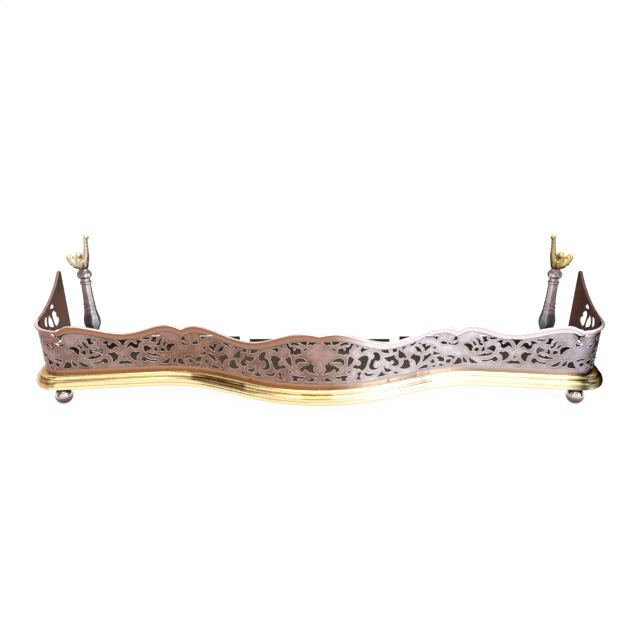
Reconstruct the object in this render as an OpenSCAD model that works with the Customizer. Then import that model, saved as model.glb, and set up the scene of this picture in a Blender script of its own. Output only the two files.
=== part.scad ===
// Serpentine fire fender: a pierced steel gallery with winged ends stands on a brass
// moulded base with ball feet. Two turned posts at the back corners carry brass crooks
// for the fire irons, and turn in their sockets.
// Millimetres. +X is right, +Y is back towards the fire, +Z is up, and z = 0 is the floor.

/* [Plan] */
// Width over the brass moulding
overall_w = 1270; // [1180:10:1360]
// Depth from the bow of the moulding to the back ends of the wings
overall_d = 265; // [250:5:300]
// How far the bow stands in front of the hollows beside it
bow_depth = 85; // [75:1:95]
// Radius of the bow in the middle, at the face of the gallery
bow_r = 350; // [320:5:360]
// Distance from the middle to the deepest point of each hollow
hollow_x = 330; // [320:5:345]
// Radius of the hollows, at the face of the gallery
hollow_r = 288; // [270:2:294]
// Radius of the front corners, at the face of the gallery
corner_r = 40; // [36:1:44]
// Distance from the bow back to the front of the corners
corner_set_back = 62.5; // [58:0.5:68]

/* [Gallery] */
// Thickness of the pierced steel sheet
sheet_t = 2; // [1.5:0.1:2.4]
// Height of the gallery's top edge at its crests in the middle
crest_mid_z = 191; // [188:0.5:198]
// Height of the notch between the two middle crests
notch_mid_z = 186.5; // [183:0.5:187.5]
// Height of the dips beside the bow
dip_bow_z = 158; // [156:0.5:162]
// Height of the crests over the cartouches
crest_side_z = 174.5; // [172:0.5:178]
// Height of the notch in each cartouche
notch_side_z = 164.5; // [163:0.5:168]
// Height of the dips between cartouche and corner
dip_side_z = 158; // [156:0.5:162]
// Height of the last crests before the corners
crest_end_z = 178.5; // [175:0.5:182]
// Height of the notch at each corner
notch_end_z = 168.5; // [166:0.5:172]
// Distance from the middle to the notch in each cartouche
notch_x = 297; // [292:1:300]
// Distance from the middle to the middle crest
crest_mid_x = 28; // [20:1:34]
// Distance from the middle to the dip beside the bow
dip_bow_x = 156; // [150:1:162]
// Distance of the cartouche's crests from its notch
crest_reach = 30; // [24:1:34]
// Distance from the middle to the dip beside the corner
dip_side_x = 414; // [405:1:425]
// Distance of the last crest from the notch at the corner
crest_end_reach = 23; // [18:1:28]
// Distance of the notch at each corner from the side of the gallery
notch_end_in = 56; // [52:0.5:60]

/* [Wings] */
// Height of the wings where they leave the corners
wing_start_z = 179; // [177:0.5:184]
// Height of the wings' peaks
wing_peak_z = 246; // [240:1:256]
// Radius of the hollow curve along the top of a wing
wing_curve_r = 230; // [210:5:300]
// Rounding of the peak
wing_tip_r = 5; // [3:0.5:8]
// Height of the stud at the back edge of a wing
stud_z = 101; // [96:1:110]
// Length of that stud inside the wing
stud_len = 12; // [8:0.5:16]

/* [Rim bead] */
// How far the rim bead stands out from the gallery
rim_out = 5.2; // [4:0.1:6.5]
// Height of the rim bead
rim_h = 6.6; // [5.5:0.1:8]
// Gap between the rim bead and the sheet it caps
rim_gap = 0.3; // [0.25:0.05:0.5]

/* [Base] */
// Diameter of the ball feet
foot_d = 38; // [34:1:40]
// Depth that the feet are flattened by where they stand
foot_flat = 0.4; // [0.3:0.1:0.6]
// Height of the neck between ball and frame
foot_neck = 1.6; // [1.2:0.1:3]
// Thickness of the iron base frame
frame_t = 3; // [2.5:0.1:4]
// How far the base frame reaches inside the gallery's face
frame_in = 18; // [16:0.5:24]
// Thickness of the floor plate
plate_t = 1.5; // [1.2:0.1:2]
// How far the moulding stands out from the gallery
moulding_out = 24; // [22:0.5:27]
// Height of the moulding
moulding_h = 27; // [25:0.5:30]
// Wall thickness of the hollow moulding
moulding_wall = 1.6; // [1.3:0.1:2]
// Distance of the front feet's studs out from the gallery's face
foot_out = 9; // [8.5:0.1:10]
// Distance of the front feet in from the side of the gallery
foot_in = 48.5; // [46:0.5:56]
// Distance of the back feet inside the wings
back_foot_side = 13; // [11:0.5:14]
// Distance of the back feet from the back ends
back_foot_in = 46; // [42:1:60]
// Diameter of the foot studs
foot_stud_d = 8; // [6:0.5:8]
// Height of the back rail beside its notches
rail_z = 75; // [68:1:80]
// Height of the middle part of the back rail
rail_mid_z = 68; // [62:1:72]
// Thickness of the back rail
rail_t = 3; // [2.5:0.1:4]
// Distance from the middle to the middle of each notch in the back rail
rail_notch_x = 185; // [170:1:200]
// Width of the notches in the back rail
rail_notch_w = 24; // [18:1:30]

/* [Fire-iron posts] */
// Distance of the posts in from the sides of the gallery
post_side_in = 73; // [66:1:90]
// Distance of the posts in front of the back ends
post_in = 38; // [34:1:50]
// Diameter of the spigot that turns in the socket
spigot_d = 12; // [10:0.5:13]
// Radial running gap of the spigot
spigot_gap = 0.06; // [0.04:0.01:0.1]
// Height of the sockets
socket_h = 9; // [7:0.5:12]
// Diameter of the sockets
socket_d = 42; // [38:1:46]
// Height of the post's upper ring above the floor
post_ring_z = 250; // [244:1:256]
// Height of the crook
crook_h = 81; // [76:1:88]

/* [Fastenings] */
// Shank diameter of the rivets
rivet_d = 4; // [3:0.5:5]
// Diameter of the pins in the top of the moulding
pin_d = 3.2; // [2.4:0.2:4]
// Clearance round rivets, studs and pins
fix_gap = 0.1; // [0.06:0.01:0.15]

/* [Hidden] */

steel = "#b0948c";
dark_steel = "#6b4a40";
pale_steel = "#d8cdd0";
brass = "#d9ab45";
iron = "#3a322c";
bright = "#9a9499";

round_fn = 48;
seat = 0.05;
curve_gap = 0.3;

// Heights of the base
frame_z = foot_d - foot_flat + foot_neck;
plate_z = frame_z + frame_t;
floor_z = plate_z + plate_t;
moulding_z = frame_z;
moulding_top = moulding_z + moulding_h;

// Plan of the gallery's face: a bow, two hollows and two corners, joined by tangents
side_x = overall_w/2 - moulding_out;
back_y = overall_d/2;
bow_front = -overall_d/2 + moulding_out;
bow_c = [0, bow_front + bow_r];
hollow_c = [hollow_x, bow_front + bow_depth - hollow_r];
corner_c = [side_x - corner_r, bow_front + corner_set_back + corner_r];
bow_n = tangent_normal(bow_c, bow_r, -1);
corner_n = tangent_normal(corner_c, corner_r, 1);
bow_half = 90 + bow_n;

function unit(a) = [cos(a), sin(a)];
// Direction of the outward normal along the line from a bulging arc to the hollow
function tangent_normal(c, r, side) =
    let (d = hollow_c - c)
    atan2(d.y, d.x) + side*acos((r + hollow_r)/norm(d));

// Points of the plan, set out by e from the gallery's face, from the middle to the corner
function plan_half(e) = concat(
    [for (k = [0:bow_steps]) bow_c + (bow_r + e)*unit(-90 + k/bow_steps*bow_half)],
    [for (k = [0:hollow_steps])
        hollow_c - (hollow_r - e)*unit(bow_n + k/hollow_steps*(corner_n - bow_n))],
    [for (k = [0:turn_steps]) corner_c + (corner_r + e)*unit(corner_n*(1 - k/turn_steps))]);
bow_steps = 13;
hollow_steps = 14;
turn_steps = 12;
// The same from the left corner round the front to the right corner
function plan_front(e) = let (half = plan_half(e))
    concat([for (k = [len(half) - 1:-1:1]) [-half[k].x, half[k].y]], half);
function plan_outline(e, back) = concat([[-side_x - e, back]], plan_front(e),
    [[side_x + e, back]]);
function backwards(pts) = [for (k = [len(pts) - 1:-1:0]) pts[k]];

// Y of the gallery's face at distance x from the middle, out to the corner's front
function face_y(x) =
    let (t1 = bow_c + bow_r*unit(bow_n), t2 = hollow_c - hollow_r*unit(bow_n),
        t3 = hollow_c - hollow_r*unit(corner_n), t4 = corner_c + corner_r*unit(corner_n))
    x < t1.x ? bow_c.y - sqrt(bow_r^2 - x^2)
    : x < t2.x ? lookup(x, [t1, t2])
    : x < t3.x ? hollow_c.y + sqrt(hollow_r^2 - (x - hollow_x)^2)
    : x < t4.x ? lookup(x, [t3, t4])
    : corner_c.y - sqrt(corner_r^2 - (x - corner_c.x)^2);

// A closed section in (out, height) led round the front, from corner to corner
module sweep(rings) {
    n = len(rings[0]);
    m = len(rings);
    polyhedron([for (r = rings) each r], concat(
        [[for (i = [n - 1:-1:0]) i], [for (i = [0:n - 1]) (m - 1)*n + i]],
        [for (j = [0:m - 2]) for (i = [0:n - 1])
            [j*n + i, j*n + (i + 1)%n, (j + 1)*n + (i + 1)%n, (j + 1)*n + i]]));
}
module along_front(section) {
    lines = [for (s = section) plan_front(s.x)];
    sweep([for (k = [0:len(lines[0]) - 1]) [for (i = [0:len(section) - 1])
        [lines[i][k].x, lines[i][k].y, section[i].y]]]);
}
// The same section led straight back along the right side
module along_side(from, to) {
    translate([side_x, to, 0]) rotate([90, 0, 0]) linear_extrude(to - from) children();
}
module both_sides() {
    children();
    mirror([1, 0, 0]) children();
}

// Height of the rim's top along the front: crests, dips and notches
crest_in_x = notch_x - crest_reach;
crest_out_x = notch_x + crest_reach;
notch_end_x = side_x - notch_end_in;
crest_end_x = notch_end_x - crest_end_reach;
wave = [[0, notch_mid_z], [crest_mid_x, crest_mid_z], [dip_bow_x, dip_bow_z],
    [crest_in_x, crest_side_z], [notch_x, notch_side_z], [crest_out_x, crest_side_z],
    [dip_side_x, dip_side_z], [crest_end_x, crest_end_z], [notch_end_x, notch_end_z]];
function rim_z(x) = let (k = max([for (i = [0:len(wave) - 2]) wave[i].x <= x ? i : 0]))
    lobe(wave[k], wave[k + 1], (x - wave[k].x)/(wave[k + 1].x - wave[k].x));
// A notch is sharp and its side is a quarter wave; crests and dips are joined by half waves
function is_notch(p) = p.x == 0 || p.x == notch_x || p.x == notch_end_x;
function lobe(a, b, t) =
    is_notch(a) ? a.y + (b.y - a.y)*sin(90*t)
    : is_notch(b) ? b.y + (a.y - b.y)*cos(90*t)
    : a.y + (b.y - a.y)*(1 - cos(180*t))/2;
// Round the corner the rim climbs in one tilted plane, from the notch to the wing
notch_end = [notch_end_x, face_y(notch_end_x)];
corner_way = (side_x - notch_end.x) + (corner_c.y - notch_end.y);
corner_climb = (wing_start_z - notch_end_z)/corner_way;
function corner_z(p) = notch_end_z + corner_climb*((p.x - notch_end.x) + (p.y - notch_end.y));
function top_z(x) = x <= notch_end_x ? rim_z(x) : corner_z([x, face_y(x)]);

// Top edge of a wing, y to height: a hollow arc that ends in a rounded peak
wing_end = [back_y - wing_tip_r, wing_peak_z - wing_tip_r];
wing_from = [corner_c.y, wing_start_z];
wing_to = wing_end + wing_tip_r*unit(125);
wing_chord = wing_to - wing_from;
wing_arc_c = (wing_from + wing_to)/2 + sqrt(wing_curve_r^2 - (norm(wing_chord)/2)^2)
    *[-wing_chord.y, wing_chord.x]/norm(wing_chord);
wing_a0 = atan2(wing_from.y - wing_arc_c.y, wing_from.x - wing_arc_c.x);
wing_a1 = atan2(wing_to.y - wing_arc_c.y, wing_to.x - wing_arc_c.x);
wing_steps = 12;
function wing_edge(k) = wing_arc_c
    + wing_curve_r*unit(wing_a0 + k/wing_steps*(wing_a1 - wing_a0));

// The sheet ends under the rim bead, which caps it
cap_t = 1.6;
sheet_drop = cap_t + rim_gap;

// A closed outline through a few points: smooth, but for points marked with a third value
function at_corner(p) = len(p) == 3;
function flat2(p) = [p.x, p.y];
function bend(pts, steps) = let (n = len(pts)) [for (i = [0:n - 1]) let (
        a = pts[(i + n - 1)%n], b = pts[i], c = pts[(i + 1)%n], d = pts[(i + 2)%n],
        mb = at_corner(b) ? 0.8*(flat2(c) - flat2(b)) : (flat2(c) - flat2(a))/2,
        mc = at_corner(c) ? 0.8*(flat2(c) - flat2(b)) : (flat2(d) - flat2(b))/2)
        for (k = [0:steps - 1]) hermite(flat2(b), mb, flat2(c), mc, k/steps)];
function hermite(p, m, q, l, t) = (2*t^3 - 3*t^2 + 1)*p + (t^3 - 2*t^2 + t)*m
    + (3*t^2 - 2*t^3)*q + (t^3 - t^2)*l;

// Piercings of the right half of the front, [distance from the middle, height]
fret_mid = [
    [[4, 171.5, 1], [12, 172], [21, 172.5, 1], [22.5, 168], [22, 165, 1], [18, 167],
        [14, 164.5, 1], [11, 168]],
    [[25, 173, 1], [33, 172.5], [42, 173, 1], [38, 169], [33, 166], [27, 165, 1]],
    [[42, 162, 1], [43, 167], [50, 169.5], [57, 168], [58, 163.5, 1], [51, 165]],
    [[23, 158.5, 1], [29, 157.5], [33, 154], [31.5, 151.5, 1], [27, 154.5]],
    [[35.5, 145, 1], [38, 150], [38.5, 157, 1], [43, 156], [47.5, 157.5, 1], [49, 152],
        [53, 152], [54, 159, 1], [61, 160], [64, 167, 1], [70, 163.5, 1], [66, 161],
        [64, 155, 1], [59.5, 152], [60.5, 142, 1], [54, 143.5], [49, 141, 1], [43, 144.5]],
    [[75, 161, 1], [79.5, 160.5, 1], [79, 156.5, 1], [75.5, 157, 1]],
    [[87, 156, 1], [93, 151.5], [105, 149.5, 1], [94, 148], [87, 144, 1], [84, 149]],
    [[26, 126, 1], [31, 133], [40, 135.5], [47, 133], [50, 127], [48, 114.5, 1],
        [46.5, 122], [42, 126], [35, 126.5]],
    [[59, 133], [62.5, 137.5], [67, 133], [71, 131, 1], [66, 122], [57.5, 112.5, 1],
        [58, 124]],
    [[10, 120, 1], [15, 122], [18.5, 126, 1], [22, 121], [29, 119], [36, 114.5],
        [41, 109.5], [38, 105], [33, 101, 1], [34, 106], [31.5, 109.5], [28, 109],
        [22, 104], [13, 101], [5, 98.5, 1], [12, 106], [13, 113]],
    [[54, 100, 1], [60, 102], [63.5, 105.5, 1], [63, 99, 1]],
    [[31, 93, 1], [40, 92], [50, 94], [60, 91, 1], [56, 88.5], [53.5, 85], [59, 81, 1],
        [46, 81, 1], [46.5, 86.5], [43, 89], [38, 86.5, 1], [34, 89]],
    [[4, 89, 1], [8.5, 89, 1], [8.5, 81.5, 1], [6, 85]],
    [[11.5, 89], [16, 91], [21, 86], [30, 82.5, 1], [20, 81.5], [11.5, 82, 1]],
    [[77, 127.5, 1], [83, 133], [91, 136.5], [98, 134], [100.5, 127], [98, 119], [96, 112],
        [92, 104], [88, 101.5, 1], [83, 106.5], [76, 107.5], [68, 111.5, 1], [74, 117],
        [80, 113.5], [84.5, 116], [85.5, 121], [82.5, 125.5]],
    [[78.5, 96], [83, 99], [86.5, 96.5], [83.5, 92], [83, 87], [88, 82, 1], [80, 81.5],
        [71.5, 82, 1], [78, 85.5], [80.5, 90]],
    [[92.5, 93], [96.5, 96.5], [99.5, 92.5], [107, 91.5], [117, 91, 1], [109, 87],
        [100, 87]],
    [[109, 140, 1], [116, 140.5], [122, 136], [126, 129], [126, 122], [121, 118.5],
        [115.5, 121.5], [112.5, 116], [111.5, 109], [116, 103.5], [124, 104, 1],
        [120, 100.5], [112, 99.5], [105, 103.5], [102.5, 111, 1], [105, 117],
        [107, 124.5], [112.5, 127], [113.5, 133]],
    [[118, 82, 1], [126, 86.5], [130.5, 93, 1], [134, 87], [142, 82, 1], [130, 81]],
    [[127, 143, 1], [134, 141.5], [142, 141.5, 1], [143.5, 136.5], [145, 132.5, 1],
        [138, 133.5], [131, 138]],
    [[133.5, 107.5, 1], [138, 99], [144, 96], [152, 92], [150, 88], [143, 88], [138, 93]],
    [[134, 124, 1], [146, 124.5], [160, 125, 1], [157.5, 121], [160, 117], [166, 110],
        [168, 103.5], [164.5, 99], [158, 99], [151, 103.5, 1], [157, 106], [156.5, 111],
        [152, 114], [148, 111], [141, 116]],
    [[151.5, 141, 1], [157, 139.5], [162.5, 140.5, 1], [160.5, 136], [161.5, 131, 1],
        [157, 132.5], [152, 131.5, 1], [153.5, 136]],
    [[166, 136.5, 1], [170, 132], [177, 126], [182.5, 119], [184.5, 112, 1], [180, 114.5],
        [173, 114], [167, 117], [166.5, 126]],
    [[170, 141.5, 1], [177, 140], [183, 142, 1], [180, 138], [176, 134.5, 1], [174, 138]],
    [[187, 142, 1], [196, 144], [204, 147.5, 1], [203, 143], [195, 138.5, 1], [192, 141]],
    [[209, 143.5, 1], [214.5, 143, 1], [215, 138.5, 1]],
    [[200.5, 136, 1], [208, 134.5], [214, 129.5], [218, 122], [220, 116.5, 1],
        [215, 121], [208, 123.5], [206, 130]],
    [[180, 108.5], [187, 107.5], [191.5, 103], [192.5, 97], [195, 91], [190, 87],
        [182, 87], [170, 91, 1], [176, 97], [179, 103]],
    [[193.5, 113, 1], [198, 116.5], [201, 120.5, 1], [205, 115], [211, 113.5],
        [216, 109], [217, 102], [213, 94], [208, 88, 1], [207, 97], [203, 104],
        [197, 107.5]],
    [[158, 80, 1], [160, 87, 1], [165, 82.5], [171, 79.5, 1]],
    [[213, 80, 1], [222, 84.5], [233, 87.5, 1], [236, 79, 1], [224, 78.5]]];
// Piercings beside a cartouche, [distance from its notch, height]
fret_cartouche = [
    [[73, 153, 1], [67, 156.5], [60, 155], [51, 153], [41, 151.5], [43, 147.5],
        [46.5, 143, 1], [49, 148.5], [57, 150.5]],
    [[79, 137.5, 1], [72, 138], [70, 134], [70.5, 130], [65, 132], [58.5, 132, 1],
        [60, 127], [65, 123], [70.5, 119.5, 1], [71.5, 126], [75.5, 132]],
    [[74.5, 93, 1], [72.5, 101], [70, 110], [65, 109], [59.5, 113.5, 1], [55.5, 110.5],
        [58.5, 105], [66, 99]],
    [[54, 126, 1], [50, 126.5], [47, 128, 1], [44.5, 121.5, 1], [50, 123]],
    [[50, 117, 1], [46, 113.5], [40, 111.5], [34, 109, 1], [42, 107.5], [50, 107.5, 1]],
    [[56.5, 94], [53, 94.5], [50.5, 98, 1], [47, 93], [45, 88.5, 1], [50, 87.5]],
    [[42.5, 101.5, 1], [35, 102], [28, 98.5], [24.5, 95], [25.5, 88.5, 1], [32, 90],
        [38.5, 89.5, 1], [36.5, 94]],
    [[36.5, 84, 1], [30, 83], [22, 78, 1], [31, 78]],
    [[52, 79, 1], [47, 82], [40.5, 79, 1], [47, 77.5]],
    [[34.5, 137.5], [29, 137.5], [22.5, 134.5], [21, 130.5, 1], [27, 131], [33, 133]],
    [[20, 100.5], [14, 103], [7, 101.5], [1.5, 98.5], [2.5, 92, 1], [6, 96.5],
        [13, 98.5]]];
// Piercings from the side of a cartouche to the middle of the next dip
fret_wing = [
    [[-3.5, 79, 1], [2, 86], [5, 92], [8, 96.5, 1], [12, 93.5], [15, 91], [16, 84],
        [13, 80], [5, 79]],
    [[17.5, 98.5, 1], [22.5, 93], [26.5, 88], [29.5, 83, 1], [24, 82.5], [20.5, 85]],
    [[31, 96.5, 1], [36, 92.5], [44, 87.5], [54, 82, 1], [46, 81], [40, 81], [34.5, 86]],
    [[16.5, 125, 1], [20, 129], [27, 130], [34, 127], [37.5, 121], [36, 114],
        [37.5, 110.5, 1], [32, 111.5], [28, 118], [23, 123]],
    [[35, 136, 1], [39.5, 133.5], [44, 128.5], [45.5, 124.5, 1], [41, 125], [38, 130]],
    [[41.5, 143.5, 1], [46, 141.5], [51.5, 137.5], [53.5, 131], [57.5, 129.5],
        [59, 125, 1], [53, 125.5], [49.5, 130], [47, 137]],
    [[49, 149.5, 1], [57, 148], [66, 149, 1], [64.5, 144], [66.5, 139], [72, 136, 1],
        [65, 134.5], [59.5, 134], [58.5, 140], [55, 145.5]],
    [[72, 147, 1], [76, 145], [82, 145.5], [90, 144, 1], [82, 141], [73, 141]],
    [[59, 122, 1], [63, 122.5, 1], [62.5, 117.5], [65.5, 114.5, 1], [61.5, 111.5],
        [57, 110, 1], [58, 116]],
    [[67.5, 117.5, 1], [74, 123], [80, 126.5], [85, 124], [86.5, 118], [83.5, 110, 1],
        [78.5, 114]],
    [[44.5, 102, 1], [53, 102.5], [61, 104.5], [64.5, 108, 1], [67, 104.5], [73, 106.5],
        [79, 109.5], [81.5, 106.5], [74, 102], [64, 99.5], [53, 99.5]],
    [[57.5, 88, 1], [65, 90], [73, 90.5], [82, 95], [86.5, 99.5], [92, 97], [94, 91.5],
        [90, 88], [85.5, 87], [83.5, 90.5], [76, 88], [66, 86.5]],
    [[85.5, 135, 1], [93, 139], [102, 141, 1], [99, 136], [99, 130.5], [103.5, 130.5],
        [107, 135], [111.5, 136], [116, 132], [120, 126], [123, 120, 1], [118, 124.5],
        [113, 126.5], [108, 122], [103.5, 119.5, 1], [97, 123], [96.5, 130], [92, 134]],
    [[94, 108.5, 1], [98, 112], [103, 111], [109, 113.5], [114, 110], [117, 104],
        [115, 98], [110, 93], [104, 89.5, 1], [104, 98], [101, 104.5]]];
// Piercings on the line of the dip itself, [distance from that line, height]
fret_dip = [
    [[-15, 144, 1], [-6.5, 142.5], [0, 142.5], [6.5, 142.5], [15, 144, 1], [7.5, 139],
        [2.5, 132], [0, 127, 1], [-2.5, 132], [-7.5, 139]],
    [[0, 104, 1], [4.5, 97.5, 1], [0, 98.5], [-4.5, 97.5, 1]],
    [[-17.5, 85, 1], [-11.5, 88.5], [-6.5, 92], [0, 90.5], [6.5, 92], [11.5, 88.5],
        [17.5, 85, 1], [9.5, 83.5], [0, 84.5], [-9.5, 83.5]]];
// The brace and the smile in the head of a cartouche
fret_head = [
    [[-5.5, 147, 1], [1, 147, 1], [0.5, 138.5, 1], [-9, 137.5, 1], [-8.5, 140.5],
        [-4.5, 141], [-5, 144]],
    [[-16, 135, 1], [-14, 131], [-8, 130.5], [-1, 131.5], [2, 136, 1], [3.5, 131],
        [0, 127], [-8, 127.5], [-15, 129.5], [-17, 133]]];
// The brace and the smile at the corner's notch
fret_corner_head = [
    [[-19, 162, 1], [-10, 160.5], [-3, 157], [4, 157.5], [10, 160.5], [16, 163.5, 1],
        [9, 155], [0, 152.5], [-1, 148], [4, 146.5, 1], [3, 143], [-4, 143],
        [-5, 150], [-9, 156]],
    [[-8, 140, 1], [-5, 136.5], [1, 136.5], [10, 141, 1], [6, 136], [0, 132.5],
        [-6, 132.5]]];
ring_hole_r = 4.8;
fret_rings_cartouche = [[14, 88.5]];
fret_rings_wing = [[46.5, 115]];

// The drawing was set out for a gallery of these sizes, and is stretched to the real one
drawn_notch_x = 297;
drawn_span = 259;
drawn_low = 66;
drawn_high = 158;
fret_dip_x = drawn_notch_x + drawn_span/2;
span_k = (notch_end_x - notch_x)/drawn_span;
rise_k = (dip_bow_z - moulding_top)/(drawn_high - drawn_low);
function fit_x(x) = x < drawn_notch_x ? x*notch_x/drawn_notch_x
    : notch_x + (x - drawn_notch_x)*span_k;
function fit_z(z) = moulding_top + (z - drawn_low)*rise_k;
function fit(pts) = [for (p = bend(pts, fret_steps)) [fit_x(p.x), fit_z(p.y)]];
function shift(pts, dx) = [for (p = pts) at_corner(p) ? [p.x + dx, p.y, 1] : [p.x + dx, p.y]];
function turned(pts) = [for (p = pts) at_corner(p) ? [-p.x, p.y, 1] : [-p.x, p.y]];
function ring_hole(p) = [for (a = [0:30:330]) p + ring_hole_r*unit(a)];
fret_steps = 3;

module pierce(pts) {
    polygon(fit(pts));
}
module front_piercings() {
    for (p = fret_mid) pierce(p);
    for (p = fret_cartouche) pierce(shift(turned(p), drawn_notch_x));
    for (p = fret_head) pierce(shift(p, drawn_notch_x));
    for (p = fret_wing) {
        pierce(shift(p, drawn_notch_x));
        pierce(shift(turned(p), drawn_notch_x + drawn_span));
    }
    for (p = fret_dip) pierce(shift(p, fret_dip_x));
    for (p = fret_corner_head) pierce(shift(p, drawn_notch_x + drawn_span));
    for (p = fret_rings_cartouche) pierce(ring_hole([drawn_notch_x - p.x, p.y]));
    for (p = fret_rings_wing) {
        pierce(ring_hole([drawn_notch_x + p.x, p.y]));
        pierce(ring_hole([drawn_notch_x + drawn_span - p.x, p.y]));
    }
}
// Past the notch the same cartouche piercings go round the corner, cut square to the sheet
drawn_corner_len = 88;
corner_flat = corner_c.x - notch_end_x;
corner_k = (corner_flat + corner_r*PI/2)/drawn_corner_len;
module corner_piercing(pts) {
    mid = corner_k*(max([for (p = pts) p.x]) + min([for (p = pts) p.x]))/2;
    turn = max(0, mid - corner_flat)/corner_r*180/PI;
    translate(corner_c) rotate([0, 0, -90 + turn]) rotate([90, 0, 90])
        translate([min(0, mid - corner_flat), 0, corner_r - 3*sheet_t])
        linear_extrude(6*sheet_t)
        polygon([for (p = bend(pts, fret_steps)) [corner_k*p.x - mid, fit_z(p.y)]]);
}

module front_gallery() {
    color(steel) difference() {
        translate([0, 0, plate_z]) linear_extrude(crest_mid_z - plate_z)
            polygon(concat(plan_front(0), backwards(plan_front(-sheet_t))));
        above_front();
        both_sides() {
            above_corner();
            translate([0, -corner_r, 0]) rotate([90, 0, 0])
                translate([0, 0, -corner_r]) linear_extrude(overall_d) front_piercings();
            for (p = fret_cartouche) corner_piercing(p);
            for (p = fret_rings_cartouche) corner_piercing(ring_hole(p));
            cleat_places() rivet_hole();
            strap_rivets_on_corner() rivet_hole();
        }
    }
}
rim_step = 8;
front_stations = concat([for (i = [0:len(wave) - 2])
    let (a = wave[i].x, b = wave[i + 1].x, n = ceil((b - a)/rim_step))
    for (k = [0:n - 1]) a + k*(b - a)/n], [notch_end_x]);
function both_ways(xs) = concat([for (k = [len(xs) - 1:-1:1]) -xs[k]], xs);
// The notch has a small flat floor, on which the cuts of the front and of the corner meet
notch_flat = 1;
module above_front() {
    top = crest_mid_z + 20;
    end_x = notch_end_x - notch_flat;
    stations = [for (x = front_stations) if (x < end_x) x];
    rotate([90, 0, 0]) translate([0, 0, -corner_r]) linear_extrude(overall_d)
        polygon(concat(
            [for (x = both_ways(concat(stations, [end_x]))) [x, rim_z(abs(x)) - sheet_drop]],
            [[end_x, top], [-end_x, top]]));
}
module above_corner() {
    slope = atan(corner_climb*sqrt(2));
    big = 6*corner_r;
    intersection() {
        translate([notch_end.x, notch_end.y, notch_end_z - sheet_drop]) rotate([0, 0, 45])
            rotate([0, -slope, 0]) translate([-big/2, -big/2, 0]) cube(big);
        translate([notch_end.x - 2*notch_flat, corner_c.y - big, 0])
            cube([big, big + 1, 2*big]);
    }
}

// A wing in its own plane, [y, height], with a drop and a flower pierced through it
wing_piercings = [
    [[49, 181, 1], [56, 186], [61, 188.5, 1], [66, 185.5], [69.5, 180], [66, 176.5, 1],
        [58, 178]],
    [[14, 158, 1], [18, 168], [24, 171], [31, 170, 1], [28, 163], [25, 150], [21, 148, 1],
        [17, 152]],
    [[31, 152], [34, 163], [40, 168.5], [46, 170.5, 1], [45, 163], [49, 158], [52, 150],
        [53.5, 140], [51, 130, 1], [47, 137], [42, 140], [36, 142]],
    [[54, 160], [55, 168], [62, 171], [70, 167], [76.5, 160], [73, 156, 1], [77, 151],
        [83, 145], [81, 138], [72, 133], [64, 131, 1], [58, 141], [56, 150]],
    [[26, 138, 1], [30, 142], [33, 136], [44, 120], [47, 108, 1], [36, 114], [29, 126]],
    [[56, 130], [60, 124], [70, 122], [80, 116], [84, 104, 1], [70, 108], [60, 112],
        [53, 104, 1], [52, 118]],
    [[18, 128, 1], [22, 118], [28, 106], [24, 96, 1], [17, 104], [15, 118]],
    [[38, 100], [50, 94], [64, 96], [78, 90, 1], [62, 86], [46, 85], [32, 88, 1]]];
function fit_wing(pts) = [for (p = bend(pts, fret_steps)) [wing_y(p.x), fit_z(p.y)]];
drawn_wing_y0 = -6;
drawn_wing_len = 138.5;
function wing_y(y) = corner_c.y + (y - drawn_wing_y0)*(back_y - corner_c.y)/drawn_wing_len;
module wing_face() {
    difference() {
        polygon(concat([[corner_c.y, plate_z]],
            [for (k = [0:wing_steps]) wing_edge(k) - [0, sheet_drop]],
            [for (a = [110:-22:0]) wing_end - [0, sheet_drop] + wing_tip_r*unit(a)],
            [[back_y, plate_z]]));
        for (p = wing_piercings) polygon(fit_wing(p));
    }
}
module right_wing_sheet() {
    color(dark_steel) difference() {
        translate([side_x - sheet_t, 0, 0]) rotate([90, 0, 90]) linear_extrude(sheet_t)
            wing_face();
        strap_rivets_on_wing() rivet_hole();
        stud_place() cylinder(d = rivet_d + 2*fix_gap, h = 4*sheet_t, center = true,
            $fn = round_fn);
        rail_rivet_place() rivet_hole();
    }
}
module right_wing() right_wing_sheet();
module left_wing() mirror([1, 0, 0]) right_wing_sheet();

// Section of the rim bead, [out from the sheet's face, up from the rim's top]
rim_section = [[-sheet_t, -cap_t], [-sheet_t, -0.7], [-0.6, 0], [0.45*rim_out, 0],
    [0.86*rim_out, -0.2*rim_h], [rim_out, -0.5*rim_h], [0.82*rim_out, -0.84*rim_h],
    [0.36*rim_out, -rim_h], [rim_gap, -0.94*rim_h], [rim_gap, -cap_t]];
corner_steps = 14;
rim_stations = concat(front_stations, [(notch_end_x + corner_c.x)/2, corner_c.x]);
function front_ring(x) = [for (s = rim_section)
    [x, face_y(abs(x)) - s.x*lean(abs(x)), top_z(abs(x)) + s.y]];
// The section is cut square to X, so it is longer where the plan runs aslant
function lean(x) = 1/cos(atan((face_y(x + 0.5) - face_y(max(0, x - 0.5)))
    /(x < 0.5 ? x + 0.5 : 1)));
function corner_ring(a) = [for (s = rim_section)
    let (p = corner_c + (corner_r + s.x)*unit(a)) [p.x, p.y, corner_z(p) + s.y]];
function flip_ring(r) = [for (p = r) [-p.x, p.y, p.z]];
corner_rings = [for (k = [1:corner_steps]) corner_ring(-90 + 90*k/corner_steps)];
module front_rim() {
    color(pale_steel) sweep(concat(
        [for (k = [corner_steps - 1:-1:0]) flip_ring(corner_rings[k])],
        [for (x = both_ways(rim_stations)) front_ring(x)],
        corner_rings));
}
function wing_ring(p, k) = [for (s = rim_section) [side_x + s.x*k, p.x, p.y + s.y*k]];
module right_rim() {
    color(pale_steel) sweep(concat([for (k = [0:wing_steps]) wing_ring(wing_edge(k), 1)],
        [for (a = [110:-22:44]) wing_ring(wing_end + wing_tip_r*unit(a), 1)]));
}
module right_wing_rim() right_rim();
module left_wing_rim() mirror([1, 0, 0]) right_rim();

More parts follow.
